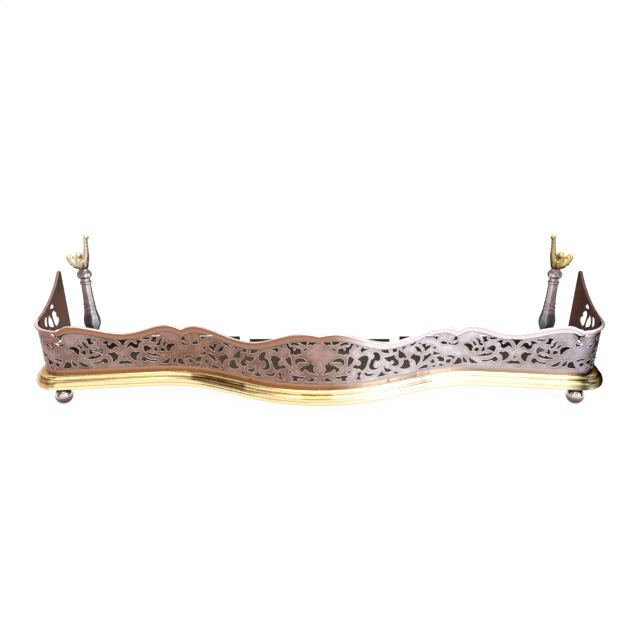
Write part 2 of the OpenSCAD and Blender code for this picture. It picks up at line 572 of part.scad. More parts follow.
// Section of the brass moulding: a bead over a large ovolo over a flat band, hollow inside
bead_r = 6.5;
ovolo_r = moulding_out - 13.5;
band_h = 7;
lip = 4.4;
function arc(c, r, a0, a1, n) = [for (k = [0:n]) c + r*unit(a0 + k/n*(a1 - a0))];
bead_c = [moulding_out/2 - 5.5, moulding_h - bead_r];
ovolo_c = [moulding_out - 1.6 - ovolo_r, band_h + 0.8];
moulding_skin = concat([[curve_gap, moulding_h]], arc(bead_c, bead_r, 90, -32, 7),
    arc(ovolo_c, ovolo_r, 78, 0, 6), arc([moulding_out - 1.2, band_h - 1.2], 1.2, 90, 0, 2),
    [[moulding_out, 0], [moulding_out - lip, 0]]);
moulding_lining = concat([[moulding_out - lip, band_h - 2]],
    arc(ovolo_c, ovolo_r - moulding_wall, 0, 50, 3),
    [[bead_c.x + bead_r*0.57, bead_c.y - bead_r*0.7]],
    arc(bead_c, bead_r - moulding_wall, -20, 90, 4),
    [[curve_gap + moulding_wall, moulding_h - moulding_wall],
        [curve_gap + moulding_wall, frame_t + seat]]);
moulding_section = [for (p = concat([[curve_gap, frame_t + seat]], moulding_skin,
    moulding_lining)) [p.x, p.y + moulding_z]];
end_section = [for (p = concat([[curve_gap, frame_t + seat]], moulding_skin,
    [[moulding_out - lip, frame_t + seat]])) [p.x, p.y + moulding_z]];
module front_moulding() {
    color(brass) difference() {
        along_front(moulding_section);
        front_pins() pin_hole();
    }
}
module right_return() {
    color(brass) difference() {
        along_side(corner_c.y, back_y - end_plate_t) polygon(moulding_section);
        side_pins() pin_hole();
    }
}
module right_moulding() right_return();
module left_moulding() mirror([1, 0, 0]) right_return();
end_plate_t = 1.5;
module moulding_end_plates() {
    color(brass) both_sides() along_side(back_y - end_plate_t, back_y) polygon(end_section);
}

// Brass pins through the bead of the moulding
pin_out = 4.5;
pin_deep = 6;
module front_pins() {
    translate([0, bow_front - pin_out, 0]) children();
    both_sides() {
        translate([notch_x, face_y(notch_x) - pin_out, 0]) children();
        translate([notch_end.x, notch_end.y - pin_out, 0]) children();
    }
}
module side_pins() {
    translate([side_x + pin_out, (corner_c.y + back_y)/2, 0]) children();
}
module pin_hole() {
    translate([0, 0, moulding_top - pin_deep])
        cylinder(d = pin_d + 2*fix_gap, h = pin_deep + 1, $fn = round_fn);
}
module pin() {
    translate([0, 0, moulding_top - pin_deep]) cylinder(d = pin_d, h = pin_deep, $fn = round_fn);
    translate([0, 0, moulding_top]) intersection() {
        translate([0, 0, 0.8 - pin_d/2]) sphere(d = pin_d + 0.4, $fn = round_fn);
        cylinder(d = pin_d + 1, h = 1, $fn = round_fn);
    }
}
module moulding_pins() {
    color(brass) {
        front_pins() pin();
        both_sides() side_pins() pin();
    }
}

module base_frame() {
    color(iron) difference() {
        translate([0, 0, frame_z]) linear_extrude(frame_t) difference() {
            polygon(plan_outline(moulding_out - lip - curve_gap, back_y - end_plate_t));
            polygon(plan_outline(-frame_in, back_y - frame_in));
        }
        foot_places() translate([0, 0, frame_z - 1])
            cylinder(d = foot_stud_d + 2*fix_gap, h = frame_t + 2, $fn = round_fn);
        plate_rivet_places() translate([0, 0, frame_z - 1])
            cylinder(d = rivet_d + 2*fix_gap, h = frame_t + 2, $fn = round_fn);
    }
}
module floor_plate() {
    color(iron) difference() {
        translate([0, 0, plate_z]) linear_extrude(plate_t)
            polygon(plan_outline(-sheet_t - curve_gap, back_y));
        plate_rivet_places() translate([0, 0, plate_z - 1])
            cylinder(d = rivet_d + 2*fix_gap, h = plate_t + 2, $fn = round_fn);
        foot_places() translate([0, 0, plate_z - 1])
            cylinder(d = foot_stud_d + 2*fix_gap, h = plate_t + 2, $fn = round_fn);
        both_sides() {
            post_place() translate([0, 0, plate_z - 1])
                cylinder(d = spigot_d + 4, h = plate_t + 2, $fn = round_fn);
            socket_rivet_places() translate([0, 0, plate_z - 1])
                cylinder(d = rivet_d + 2*fix_gap, h = plate_t + 2, $fn = round_fn);
        }
    }
}

// The back rail: angle iron on the plate's back edge, with its ends turned along the wings
rail_foot = 14;
rail_ear = 26;
rail_in = side_x - sheet_t - fix_gap;
module back_rail() {
    color(iron) difference() {
        union() {
            translate([-rail_in, back_y - rail_t, floor_z])
                cube([2*rail_in, rail_t, rail_z - floor_z]);
            translate([-rail_in, back_y - rail_foot, floor_z])
                cube([2*rail_in, rail_foot, rail_t]);
            both_sides() translate([rail_in - rail_t, back_y - rail_ear, floor_z])
                cube([rail_t, rail_ear, rail_z - floor_z]);
        }
        translate([-rail_notch_x, back_y - rail_t - 1, rail_mid_z])
            cube([2*rail_notch_x, rail_t + 2, rail_z]);
        both_sides() {
            translate([rail_notch_x - rail_notch_w/2, back_y - rail_t - 1, floor_z + rail_t])
                cube([rail_notch_w, rail_t + 2, rail_z]);
            rail_rivet_place() rivet_hole();
        }
        plate_rivet_places() translate([0, 0, floor_z - 1])
            cylinder(d = rivet_d + 2*fix_gap, h = rail_t + 2, $fn = round_fn);
    }
}

// Inside straps over the joints between the corners and the wings
strap_t = 2;
strap_low = floor_z + 22;
strap_h = 88;
strap_len = 10;
strap_flats = 3;
function strap_line(e) = concat([[side_x - e, corner_c.y + strap_len]],
    [for (k = [0:strap_flats]) corner_c + (corner_r - e)*unit(corner_n*k/turn_steps)]);
// The corner's rivets go through the middle of the strap's middle flat
strap_rivet_turn = strap_flats/2*corner_n/turn_steps;
module corner_straps() {
    color(iron) both_sides() difference() {
        translate([0, 0, strap_low]) linear_extrude(strap_h)
            polygon(concat(strap_line(sheet_t + curve_gap),
                backwards(strap_line(sheet_t + curve_gap + strap_t))));
        strap_rivets_on_wing() rivet_hole();
        strap_rivets_on_corner() rivet_hole();
    }
}
strap_rivet_z = [strap_low + 10, strap_low + strap_h/2, strap_low + strap_h - 10];
// A rivet's own frame: its axis is +X, with x = 0 on the face of the sheet
module strap_rivets_on_wing() {
    for (z = strap_rivet_z) translate([side_x, corner_c.y + strap_len/2, z]) children();
}
module strap_rivets_on_corner() {
    for (z = strap_rivet_z) translate([corner_c.x, corner_c.y, z])
        rotate([0, 0, strap_rivet_turn])
        translate([corner_r*cos(corner_n/turn_steps/2), 0, 0]) children();
}
module rivet_hole() {
    translate([-20, 0, 0]) rotate([0, 90, 0])
        cylinder(d = rivet_d + 2*fix_gap, h = 30, $fn = round_fn);
}
// A rivet through the sheet and a backing, flush outside, with a round head inside
head_t = 1.6;
module rivet(grip) {
    translate([-grip, 0, 0]) rotate([0, 90, 0]) cylinder(d = rivet_d, h = grip, $fn = round_fn);
    translate([-grip - seat, 0, 0]) rotate([0, -90, 0]) rivet_head();
}
module rivet_head() {
    rotate_extrude($fn = round_fn) polygon(concat([[0, -seat], [rivet_d/2, -seat],
        [rivet_d/2, 0]], [for (a = [0:15:90]) [rivet_d*cos(a), head_t*sin(a)]]));
}
// On a strap's hollow face a flat head stands off by the depth of the hollow under it
strap_hollow = rivet_d*rivet_d/(2*(corner_r - sheet_t - curve_gap - strap_t - rivet_d));
module strap_rivets() {
    strap_grip = sheet_t + curve_gap + strap_t;
    color(bright) both_sides() {
        strap_rivets_on_wing() rivet(strap_grip);
        strap_rivets_on_corner() rivet(strap_grip + strap_hollow + seat);
    }
}

// Cleats that tie the foot of the gallery to the floor plate, where its face is square to Y
cleat_w = 16;
cleat_h = 18;
cleat_foot = 16;
cleat_t = 2.5;
cleat_off = curve_gap + 0.1;
module cleat_places() {
    translate([0, bow_front, floor_z + cleat_h/2 + 2]) rotate([0, 0, -90]) children();
    translate([hollow_x, face_y(hollow_x), floor_z + cleat_h/2 + 2]) rotate([0, 0, -90])
        children();
}
module cleat() {
    translate([-sheet_t - cleat_off - cleat_t, -cleat_w/2, -cleat_h/2 - 2])
        cube([cleat_t, cleat_w, cleat_h]);
    translate([-sheet_t - cleat_off - cleat_foot, -cleat_w/2, -cleat_h/2 - 2])
        cube([cleat_foot, cleat_w, cleat_t]);
}
module all_cleat_places() {
    translate([0, bow_front, floor_z + cleat_h/2 + 2]) rotate([0, 0, -90]) children();
    both_sides() translate([hollow_x, face_y(hollow_x), floor_z + cleat_h/2 + 2])
        rotate([0, 0, -90]) children();
}
module gallery_cleats() {
    color(iron) difference() {
        all_cleat_places() cleat();
        all_cleat_places() rivet_hole();
        plate_rivet_places() translate([0, 0, floor_z - 1])
            cylinder(d = rivet_d + 2*fix_gap, h = cleat_t + 2, $fn = round_fn);
    }
}
module cleat_rivets() {
    color(bright) all_cleat_places() rivet(sheet_t + cleat_off + cleat_t + seat);
}

// Rivets that hold cleats, plate, rail and frame together, heads up
cleat_rivet_in = 11;
rail_rivet_x = 90;
rail_rivet_in = [311, 171];
rail_rivet_xs = [rail_rivet_x, side_x - rail_rivet_in[0], side_x - rail_rivet_in[1]];
rail_rivet_y = back_y - (rail_foot + rail_t)/2;
cleat_rivet_mid = [0, bow_front + sheet_t + cleat_rivet_in];
cleat_rivet_side = [hollow_x, face_y(hollow_x) + sheet_t + cleat_rivet_in];
module plate_rivet_places() {
    translate(cleat_rivet_mid) children();
    both_sides() {
        translate(cleat_rivet_side) children();
        for (x = rail_rivet_xs) translate([x, rail_rivet_y, 0]) children();
    }
}
module plate_rivets() {
    color(bright) {
        upright_rivet(cleat_rivet_mid, cleat_t);
        both_sides() {
            upright_rivet(cleat_rivet_side, cleat_t);
            for (x = rail_rivet_xs) upright_rivet([x, rail_rivet_y], rail_t);
        }
    }
}
module upright_rivet(p, top) {
    translate([p.x, p.y, frame_z]) cylinder(d = rivet_d, h = frame_t + plate_t + top + seat,
        $fn = round_fn);
    translate([p.x, p.y, floor_z + top + seat]) rivet_head();
}

// Studs at the back edge of the wings, and the rivets of the rail's ears
module stud_place() {
    translate([side_x, back_y - 7, stud_z]) rotate([0, 90, 0]) children();
}
module rail_rivet_place() {
    translate([side_x, back_y - rail_ear/2 - 3, (floor_z + rail_z)/2 + 4]) children();
}
module wing_studs() {
    color(iron) both_sides() {
        translate([side_x - sheet_t - stud_len, back_y - 7, stud_z]) rotate([0, 90, 0]) {
            cylinder(d = rivet_d, h = sheet_t + stud_len, $fn = round_fn);
            cylinder(d = rivet_d + 1.6, h = stud_len - seat, $fn = round_fn);
            sphere(d = rivet_d + 3.4, $fn = round_fn);
        }
        rail_rivet_place() rivet(sheet_t + rail_t + fix_gap + seat);
    }
}

// Ball feet with a neck and a stud, and their nuts inside the moulding
front_foot = [side_x - foot_in, face_y(side_x - foot_in) - foot_out];
back_foot = [side_x - back_foot_side, back_y - back_foot_in];
foot_stud_len = 10;
foot_nut_h = 5;
module foot_places() {
    both_sides() {
        translate(front_foot) children();
        translate(back_foot) children();
    }
}
module foot() {
    intersection() {
        translate([0, 0, foot_d/2 - foot_flat]) sphere(d = foot_d, $fn = 2*round_fn);
        translate([-foot_d, -foot_d, 0]) cube(2*foot_d);
    }
    translate([0, 0, foot_d - foot_flat - 2]) cylinder(d = foot_d*0.5, h = foot_neck + 2,
        $fn = round_fn);
    translate([0, 0, frame_z - 1]) cylinder(d = foot_stud_d, h = foot_stud_len + 1,
        $fn = round_fn);
}
module front_right_foot() color(bright) translate(front_foot) foot();
module front_left_foot() color(bright) mirror([1, 0, 0]) translate(front_foot) foot();
module back_right_foot() color(bright) translate(back_foot) foot();
module back_left_foot() color(bright) mirror([1, 0, 0]) translate(back_foot) foot();
module foot_nut() nut(foot_stud_d + 4, foot_stud_d + 2*fix_gap, foot_nut_h);
module nut(across, bore, h) {
    difference() {
        cylinder(d = across/cos(30), h = h, $fn = 6);
        translate([0, 0, -1]) cylinder(d = bore, h = h + 2, $fn = round_fn);
    }
}
module foot_nuts() {
    color(iron) both_sides() {
        translate([front_foot.x, front_foot.y, plate_z + seat]) foot_nut();
        translate([back_foot.x, back_foot.y, floor_z + seat]) foot_nut();
    }
}

// Fire-iron posts: a turned baluster with a spigot that turns in a socket on the plate
post_x = side_x - post_side_in;
post_y = back_y - post_in;
post_foot_z = floor_z + socket_h + 0.2;
module post_place() {
    translate([post_x, post_y, 0]) children();
}
module socket() {
    color(iron) post_place() difference() {
        translate([0, 0, floor_z]) rotate_extrude($fn = 2*round_fn) polygon(concat(
            [[spigot_d/2 + spigot_gap, 0], [socket_d/2, 0], [socket_d/2, 2.5]],
            arc([socket_d/2 - 5, 2.5], 4, 0, 80, 4),
            [[spigot_d/2 + 6, socket_h - 1.5], [spigot_d/2 + 5, socket_h],
            [spigot_d/2 + spigot_gap, socket_h]]));
        for (a = [45:90:315]) rotate([0, 0, a]) translate([socket_d/2 - 4.5, 0, floor_z - 1])
            cylinder(d = rivet_d*0.75 + 2*fix_gap, h = socket_h + 2, $fn = round_fn);
    }
}
module right_socket() socket();
module left_socket() mirror([1, 0, 0]) socket();
module socket_rivet_places() {
    post_place() for (a = [45:90:315]) rotate([0, 0, a])
        translate([socket_d/2 - 4.5, 0, 0]) children();
}
module socket_rivets() {
    color(bright) both_sides() socket_rivet_places() {
        translate([0, 0, plate_z]) cylinder(d = rivet_d*0.75, h = plate_t + 7,
            $fn = round_fn);
    }
}

// Turned outline above the socket, [radius, height], with rings between hollow necks
drawn_ring_z = 250;
ring_up = post_ring_z - drawn_ring_z;
post_outline = [[spigot_d/2, 0, 1], [13.5, 0, 1], [14.5, 2], [13, 5, 1], [9.5, 8], [8, 16],
    [8, 24, 1], [11, 26], [11, 30, 1], [8, 33], [8.4, 44], [9.2, 51, 1], [12.4, 52.5],
    [12.4, 56.5, 1], [12.8, 58], [16.2, 66], [18.3, 74], [18.5, 79], [18, 87], [15.7, 97],
    [14, 106], [12.8, 110.5, 1], [13.6, 112], [13.6, 116], [12.4, 118, 1],
    [11.8, 121.5, 1], [13, 123], [13, 125.5], [11.9, 127.5, 1], [11.4, 138], [10.9, 154],
    [10.6, 173 + ring_up, 1], [12.4, 174.5 + ring_up], [12.4, 178.5 + ring_up],
    [10.2, 181 + ring_up, 1], [9.8, 187 + ring_up, 1], [14.4, 189.5 + ring_up],
    [16, 195.5 + ring_up], [14.4, 201.5 + ring_up], [11, 204.5 + ring_up, 1],
    [9.4, 209 + ring_up, 1]];
post_top = 209 + ring_up;
crook_z = post_foot_z + post_top;
module post() {
    color(bright) post_place() {
        translate([0, 0, post_foot_z]) rotate_extrude($fn = 2*round_fn)
            polygon(concat([[0, post_top], [0, 0]], turned_line(post_outline, 3)));
        translate([0, 0, spigot_low]) cylinder(d = spigot_d,
            h = post_foot_z - spigot_low + 1, $fn = round_fn);
        translate([0, 0, crook_z - 1]) cylinder(d = crook_pin_d, h = crook_pin_h + 1,
            $fn = round_fn);
    }
}
// An open smooth line through points, with the same marks for sharp ones
function turned_line(pts, steps) = let (closed = bend(pts, steps))
    [for (k = [0:(len(pts) - 1)*steps]) closed[k]];
module right_post() post();
module left_post() mirror([1, 0, 0]) post();
washer_t = 1.4;
post_nut_h = 6;
spigot_low = plate_z - washer_t - post_nut_h - 2;
module washer() {
    color(iron) post_place() translate([0, 0, plate_z - washer_t - 0.3]) difference() {
        cylinder(d = spigot_d + 12, h = washer_t, $fn = round_fn);
        translate([0, 0, -1]) cylinder(d = spigot_d + 2*fix_gap, h = washer_t + 2,
            $fn = round_fn);
    }
}
module right_post_washer() washer();
module left_post_washer() mirror([1, 0, 0]) washer();
module post_nut() {
    color(iron) post_place() translate([0, 0, plate_z - washer_t - 0.3 - post_nut_h - seat])
        nut(spigot_d + 7, spigot_d + 2*fix_gap, post_nut_h);
}
module right_post_nut() post_nut();
module left_post_nut() mirror([1, 0, 0]) post_nut();

// Brass crook: a leafy cup, an upright prong, a rolled leaf and an outer scroll
crook_pin_d = 8;
crook_pin_h = 10;
crook_r = 9.4;
prong = [[-7, 22, 8.6], [-10, 41, 6], [-12.4, 58, 5.2], [-16, crook_h - 5, 5]];
prong_tip = [-20, crook_h - 7, 3.4];
scroll = [[4, 11, 9], [18, 14, 8.6], [28.5, 26, 6.4]];
roll = [5, 29, 7.4];
beads = [[-18, 64, 2.6], [-17, 57, 2.6], [-16.4, 50, 2.4]];
module blob(b) {
    translate([b.x, 0, b.y]) sphere(r = b.z, $fn = 20);
}
module link(a, b) {
    hull() {
        blob(a);
        blob(b);
    }
}
module crook() {
    color(brass) post_place() translate([0, 0, crook_z + seat]) difference() {
        union() {
            rotate_extrude($fn = round_fn) polygon([[0, 0], [crook_r, 0], [crook_r + 1.2, 2.5],
                [crook_r, 4.5], [crook_r + 2.5, 10], [crook_r + 3.5, 16], [crook_r, 22],
                [0, 24]]);
            for (k = [0:2]) link(prong[k], prong[k + 1]);
            link(prong[3], prong_tip);
            for (k = [0:1]) link(scroll[k], scroll[k + 1]);
            translate([roll.x, 0, roll.y - 3]) rotate([90, 0, 0])
                cylinder(r = roll.z, h = 20, center = true, $fn = round_fn);
            for (b = beads) blob(b);
        }
        translate([0, 0, -1]) cylinder(d = crook_pin_d + 2*fix_gap, h = crook_pin_h + 1.5,
            $fn = round_fn);
    }
}
module right_crook() crook();
module left_crook() mirror([1, 0, 0]) crook();

front_gallery();
left_wing();
right_wing();
front_rim();
left_wing_rim();
right_wing_rim();
front_moulding();
left_moulding();
right_moulding();
moulding_end_plates();
moulding_pins();
base_frame();
floor_plate();
back_rail();
corner_straps();
strap_rivets();
gallery_cleats();
cleat_rivets();
plate_rivets();
wing_studs();
front_left_foot();
front_right_foot();
back_left_foot();
back_right_foot();
foot_nuts();
left_socket();
right_socket();
socket_rivets();
left_post();
right_post();
left_crook();
right_crook();
left_post_washer();
right_post_washer();
left_post_nut();
right_post_nut();
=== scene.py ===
import math

import bmesh
import bpy
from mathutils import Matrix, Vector
from mathutils.kdtree import KDTree


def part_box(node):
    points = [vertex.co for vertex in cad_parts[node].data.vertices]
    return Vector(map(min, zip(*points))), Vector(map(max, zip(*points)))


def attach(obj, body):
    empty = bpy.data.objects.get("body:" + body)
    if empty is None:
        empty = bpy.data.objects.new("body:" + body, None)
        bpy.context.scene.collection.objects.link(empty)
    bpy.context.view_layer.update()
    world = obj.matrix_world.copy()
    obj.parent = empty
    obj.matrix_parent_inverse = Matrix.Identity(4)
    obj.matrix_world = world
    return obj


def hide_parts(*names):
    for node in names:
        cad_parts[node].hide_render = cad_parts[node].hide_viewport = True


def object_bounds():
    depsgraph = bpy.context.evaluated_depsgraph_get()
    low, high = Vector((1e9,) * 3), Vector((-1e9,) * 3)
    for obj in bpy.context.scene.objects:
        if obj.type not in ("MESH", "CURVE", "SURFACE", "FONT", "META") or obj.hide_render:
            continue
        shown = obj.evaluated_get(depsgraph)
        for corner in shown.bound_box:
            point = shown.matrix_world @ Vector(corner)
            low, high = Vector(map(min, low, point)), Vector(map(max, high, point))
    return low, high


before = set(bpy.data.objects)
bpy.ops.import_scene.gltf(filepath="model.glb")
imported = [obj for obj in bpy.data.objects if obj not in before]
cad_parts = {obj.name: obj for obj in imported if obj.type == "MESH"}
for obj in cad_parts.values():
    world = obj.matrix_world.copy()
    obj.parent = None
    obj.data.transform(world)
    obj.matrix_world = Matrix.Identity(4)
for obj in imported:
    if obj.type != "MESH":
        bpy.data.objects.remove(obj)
cad_box = [[round(value, 6) for value in corner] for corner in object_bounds()]

# ---------------------------------------------------------------- the studio
# A white floor and surround. A broad soft lamp hangs overhead, a cooler one stands to the
# right and a weak warm one to the left. Dark cards off camera show in the polished metal.
scene = bpy.context.scene
scene.view_settings.view_transform = "Standard"

CAMERA_PLACE = (0, -1.1253, 0.6523)
CAMERA_TILT = math.radians(67.01)  # up from looking straight down
camera_sight = bpy.data.cameras.new("camera")
camera_sight.sensor_width = 36
camera_sight.lens = 31.5
camera_sight.shift_x = 0.0006
camera = bpy.data.objects.new("camera", camera_sight)
camera.location = CAMERA_PLACE
camera.rotation_euler = (CAMERA_TILT, 0, 0)
scene.collection.objects.link(camera)
scene.camera = camera


def aimed(place, aim):
    return (Vector(aim) - Vector(place)).to_track_quat("-Z", "Y").to_euler()


def add_lamp(name, place, aim, size, watts, colour):
    lamp = bpy.data.lights.new(name, "AREA")
    lamp.shape = "RECTANGLE"
    lamp.size, lamp.size_y = size
    lamp.energy = watts
    lamp.color = colour
    stand = bpy.data.objects.new(name, lamp)
    stand.location = place
    stand.rotation_euler = aimed(place, aim)
    scene.collection.objects.link(stand)


add_lamp("lamp_top", (0.3, -0.5, 2.4), (0, 0, 0.1), (2.4, 1.4), 30, (1.0, 0.99, 0.98))
add_lamp("lamp_right", (1.7, -1.6, 1.1), (0.3, 0, 0.1), (1.0, 1.2), 17, (0.93, 0.95, 1.0))
add_lamp("lamp_left", (-1.9, -1.2, 0.9), (-0.3, 0, 0.1), (0.8, 0.8), 5, (1.0, 0.86, 0.74))


def add_math(tree, operation, *values):
    """The result of a sum whose values are numbers or the outputs of other nodes."""
    working = tree.nodes.new("ShaderNodeMath")
    working.operation = operation
    for socket, value in zip(working.inputs, values):
        if isinstance(value, bpy.types.NodeSocket):
            tree.links.new(value, socket)
        else:
            socket.default_value = value
    return working.outputs[0]


def seen_share(tree, strength):
    """The given share where the camera, a reflection or a see-through ray looks, else 0."""
    ray = tree.nodes.new("ShaderNodeLightPath")
    seen = ray.outputs["Is Camera Ray"]
    for kind in ("Is Glossy Ray", "Is Transmission Ray"):
        seen = add_math(tree, "MAXIMUM", seen, ray.outputs[kind])
    return add_math(tree, "MULTIPLY", seen, strength)


world = bpy.data.worlds.new("surround")
world.use_nodes = True
scene.world = world
sky = world.node_tree
sky.nodes.clear()
sky_out = sky.nodes.new("ShaderNodeOutputWorld")
sky_light = sky.nodes.new("ShaderNodeBackground")
sky_light.inputs["Color"].default_value = (0.84, 0.84, 0.86, 1)
sky_light.inputs["Strength"].default_value = 0.8
sky_white = sky.nodes.new("ShaderNodeBackground")
sky_white.inputs["Color"].default_value = (1, 1, 1, 1)
sky_choice = sky.nodes.new("ShaderNodeMixShader")
sky.links.new(seen_share(sky, 1), sky_choice.inputs[0])
sky.links.new(sky_light.outputs[0], sky_choice.inputs[1])
sky.links.new(sky_white.outputs[0], sky_choice.inputs[2])
sky.links.new(sky_choice.outputs[0], sky_out.inputs[0])

bpy.ops.object.select_all(action="DESELECT")
bpy.ops.mesh.primitive_plane_add(size=60, location=(0, 0, 0))
floor = bpy.context.active_object
floor.name = "floor"
floor_paint = bpy.data.materials.new("floor_paint")
floor_paint.use_nodes = True
tree = floor_paint.node_tree
tree.nodes.clear()
floor_out = tree.nodes.new("ShaderNodeOutputMaterial")
floor_matt = tree.nodes.new("ShaderNodeBsdfDiffuse")
floor_matt.inputs["Color"].default_value = (0.88, 0.88, 0.88, 1)
floor_glow = tree.nodes.new("ShaderNodeEmission")
floor_glow.inputs["Color"].default_value = (1, 1, 1, 1)
floor_mix = tree.nodes.new("ShaderNodeMixShader")
FLOOR_WHITE_SHARE = 0.82  # share of the floor's look that is its own even white
FLOOR_WHITE = 1.16  # strength of that white
floor_glow.inputs["Strength"].default_value = FLOOR_WHITE
tree.links.new(seen_share(tree, FLOOR_WHITE_SHARE), floor_mix.inputs[0])
tree.links.new(floor_matt.outputs[0], floor_mix.inputs[1])
tree.links.new(floor_glow.outputs[0], floor_mix.inputs[2])
tree.links.new(floor_mix.outputs[0], floor_out.inputs[0])
floor.data.materials.append(floor_paint)


def add_card(name, place, aim, size, colour):
    """A card of one even tone that only reflections see."""
    bpy.ops.mesh.primitive_plane_add(size=1)
    card = bpy.context.active_object
    card.name = name
    card.location = place
    card.rotation_euler = aimed(place, aim)
    card.scale = (size[0], size[1], 1)
    card.visible_camera = False
    card.visible_diffuse = False
    card.visible_transmission = False
    card.visible_shadow = False
    paint = bpy.data.materials.new(name + "_paint")
    paint.use_nodes = True
    paint.node_tree.nodes.clear()
    glow = paint.node_tree.nodes.new("ShaderNodeEmission")
    glow.inputs["Color"].default_value = (*colour, 1)
    end = paint.node_tree.nodes.new("ShaderNodeOutputMaterial")
    paint.node_tree.links.new(glow.outputs[0], end.inputs[0])
    card.data.materials.append(paint)


add_card("card_left", (-1.33, -0.75, 1.6), (-0.2, -0.05, 1.6), (0.7, 3.2), (0.19, 0.105, 0.055))
add_card("card_right", (1.6, -0.55, 1.3), (0.4, -0.04, 1.3), (0.8, 2.6), (0.10, 0.08, 0.045))
add_card("card_behind", (0, 1.3, 0.002), (0, 1.3, 1), (3.6, 2.1), (0.10, 0.075, 0.07))

# ---------------------------------------------------------------- base ironwork
# Flat bar frame, floor plate, back rail, straps and cleats: wrought iron, blackened and
# brown with ash. They are cut, drilled and riveted, and stay as the solids are.


def start_material(name, metallic):
    material = bpy.data.materials.new(name)
    material.use_nodes = True
    surface = material.node_tree.nodes["Principled BSDF"]
    surface.inputs["Metallic"].default_value = metallic
    return material, material.node_tree, surface


def add_noise(tree, scale, detail, roughness=0.55, stretch=(1, 1, 1)):
    place = tree.nodes.new("ShaderNodeTexCoord")
    mapping = tree.nodes.new("ShaderNodeMapping")
    mapping.inputs["Scale"].default_value = stretch
    noise = tree.nodes.new("ShaderNodeTexNoise")
    noise.inputs["Scale"].default_value = scale
    noise.inputs["Detail"].default_value = detail
    noise.inputs["Roughness"].default_value = roughness
    tree.links.new(place.outputs["Object"], mapping.inputs["Vector"])
    tree.links.new(mapping.outputs["Vector"], noise.inputs["Vector"])
    return noise.outputs[0]


def grey(value):
    return (value, value, value)


def add_ramp(tree, source, stops):
    ramp = tree.nodes.new("ShaderNodeValToRGB")
    bar = ramp.color_ramp
    while len(bar.elements) < len(stops):
        bar.elements.new(0.5)
    for element, (position, colour) in zip(bar.elements, stops):
        element.position = position
        element.color = (*colour, 1)
    tree.links.new(source, ramp.inputs[0])
    return ramp.outputs[0]


def add_mix(tree, factor, first, second, blend="MIX"):
    mix = tree.nodes.new("ShaderNodeMix")
    mix.data_type = "RGBA"
    mix.blend_type = blend
    for socket, value in ((0, factor), ("A", first), ("B", second)):
        if isinstance(value, bpy.types.NodeSocket):
            tree.links.new(value, mix.inputs[socket])
        elif socket == 0:
            mix.inputs[socket].default_value = value
        else:
            mix.inputs[socket].default_value = (*value, 1)
    return mix.outputs["Result"]


def add_bump(tree, surface, height, strength, distance):
    bump = tree.nodes.new("ShaderNodeBump")
    bump.inputs["Strength"].default_value = strength
    bump.inputs["Distance"].default_value = distance
    tree.links.new(height, bump.inputs["Height"])
    tree.links.new(bump.outputs[0], surface.inputs["Normal"])


iron, tree, surface = start_material("hearth_iron", 0.0)
scale_marks = add_noise(tree, 60, 6)
dust = add_noise(tree, 9, 4)
iron_colour = add_ramp(tree, scale_marks,
    [(0.3, (0.030, 0.017, 0.009)), (0.7, (0.066, 0.041, 0.022))])
dust_share = add_ramp(tree, dust, [(0.45, grey(0)), (0.75, grey(0.4))])
tree.links.new(add_mix(tree, dust_share, iron_colour, (0.13, 0.085, 0.05)),
    surface.inputs["Base Color"])
surface.inputs["Specular IOR Level"].default_value = 0.25
tree.links.new(add_ramp(tree, scale_marks, [(0.2, grey(0.6)), (0.8, grey(0.85))]),
    surface.inputs["Roughness"])
add_bump(tree, surface, scale_marks, 0.25, 0.0008)


def paint_node(node, material):
    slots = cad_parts[node].data.materials
    slots.clear()
    slots.append(material)


for node in ("base_frame", "floor_plate", "back_rail", "corner_straps", "gallery_cleats",
             "wing_studs", "foot_nuts", "left_socket", "right_socket", "left_post_washer",
             "right_post_washer", "left_post_nut", "right_post_nut"):
    paint_node(node, iron)

# ---------------------------------------------------------------- brass moulding
# Sheet brass drawn to a bead over an ovolo over a flat band, bent round the front and
# pinned. It is polished. Painted shade darkens its two grooves and its top and bottom
# edges, and painted light and reflections run along its length.


def only(piece):
    """Makes the piece the one that the next operators work on."""
    bpy.ops.object.select_all(action="DESELECT")
    bpy.context.view_layer.objects.active = piece
    piece.select_set(True)


SAME_CORNER = 0.00002  # corners of a solid's triangles that are closer are joined


def weld_copy(node, name, body, smooth):
    """The solid's own surface as a piece: its triangles joined and its curves smooth up to
    the angle given in degrees."""
    piece = bpy.data.objects.new(name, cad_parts[node].data.copy())
    scene.collection.objects.link(piece)
    only(piece)
    if piece.data.has_custom_normals:
        bpy.ops.mesh.customdata_custom_splitnormals_clear()
    bpy.ops.object.mode_set(mode="EDIT")
    bpy.ops.mesh.select_mode(type="VERT")
    bpy.ops.mesh.select_all(action="SELECT")
    bpy.ops.mesh.remove_doubles(threshold=SAME_CORNER)
    bpy.ops.mesh.select_all(action="DESELECT")
    bpy.ops.object.mode_set(mode="OBJECT")
    bpy.ops.object.shade_smooth_by_angle(angle=math.radians(smooth))
    piece.data.materials.clear()
    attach(piece, body)
    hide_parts(node)
    return piece


def add_share(tree, axis, low, high):
    """0 to 1 along one axis of the object, between two places."""
    place = tree.nodes.new("ShaderNodeTexCoord")
    split = tree.nodes.new("ShaderNodeSeparateXYZ")
    tree.links.new(place.outputs["Object"], split.inputs[0])
    share = tree.nodes.new("ShaderNodeMapRange")
    share.inputs["From Min"].default_value = low
    share.inputs["From Max"].default_value = high
    tree.links.new(split.outputs[axis], share.inputs["Value"])
    return share.outputs[0]


side_x = cad_box[1][0]


def add_length_share(tree):
    """0 at the fender's left end, 1 at its right end."""
    return add_share(tree, "X", -side_x, side_x)


def add_product(tree, first, second):
    return add_mix(tree, 1.0, first, second, "MULTIPLY")


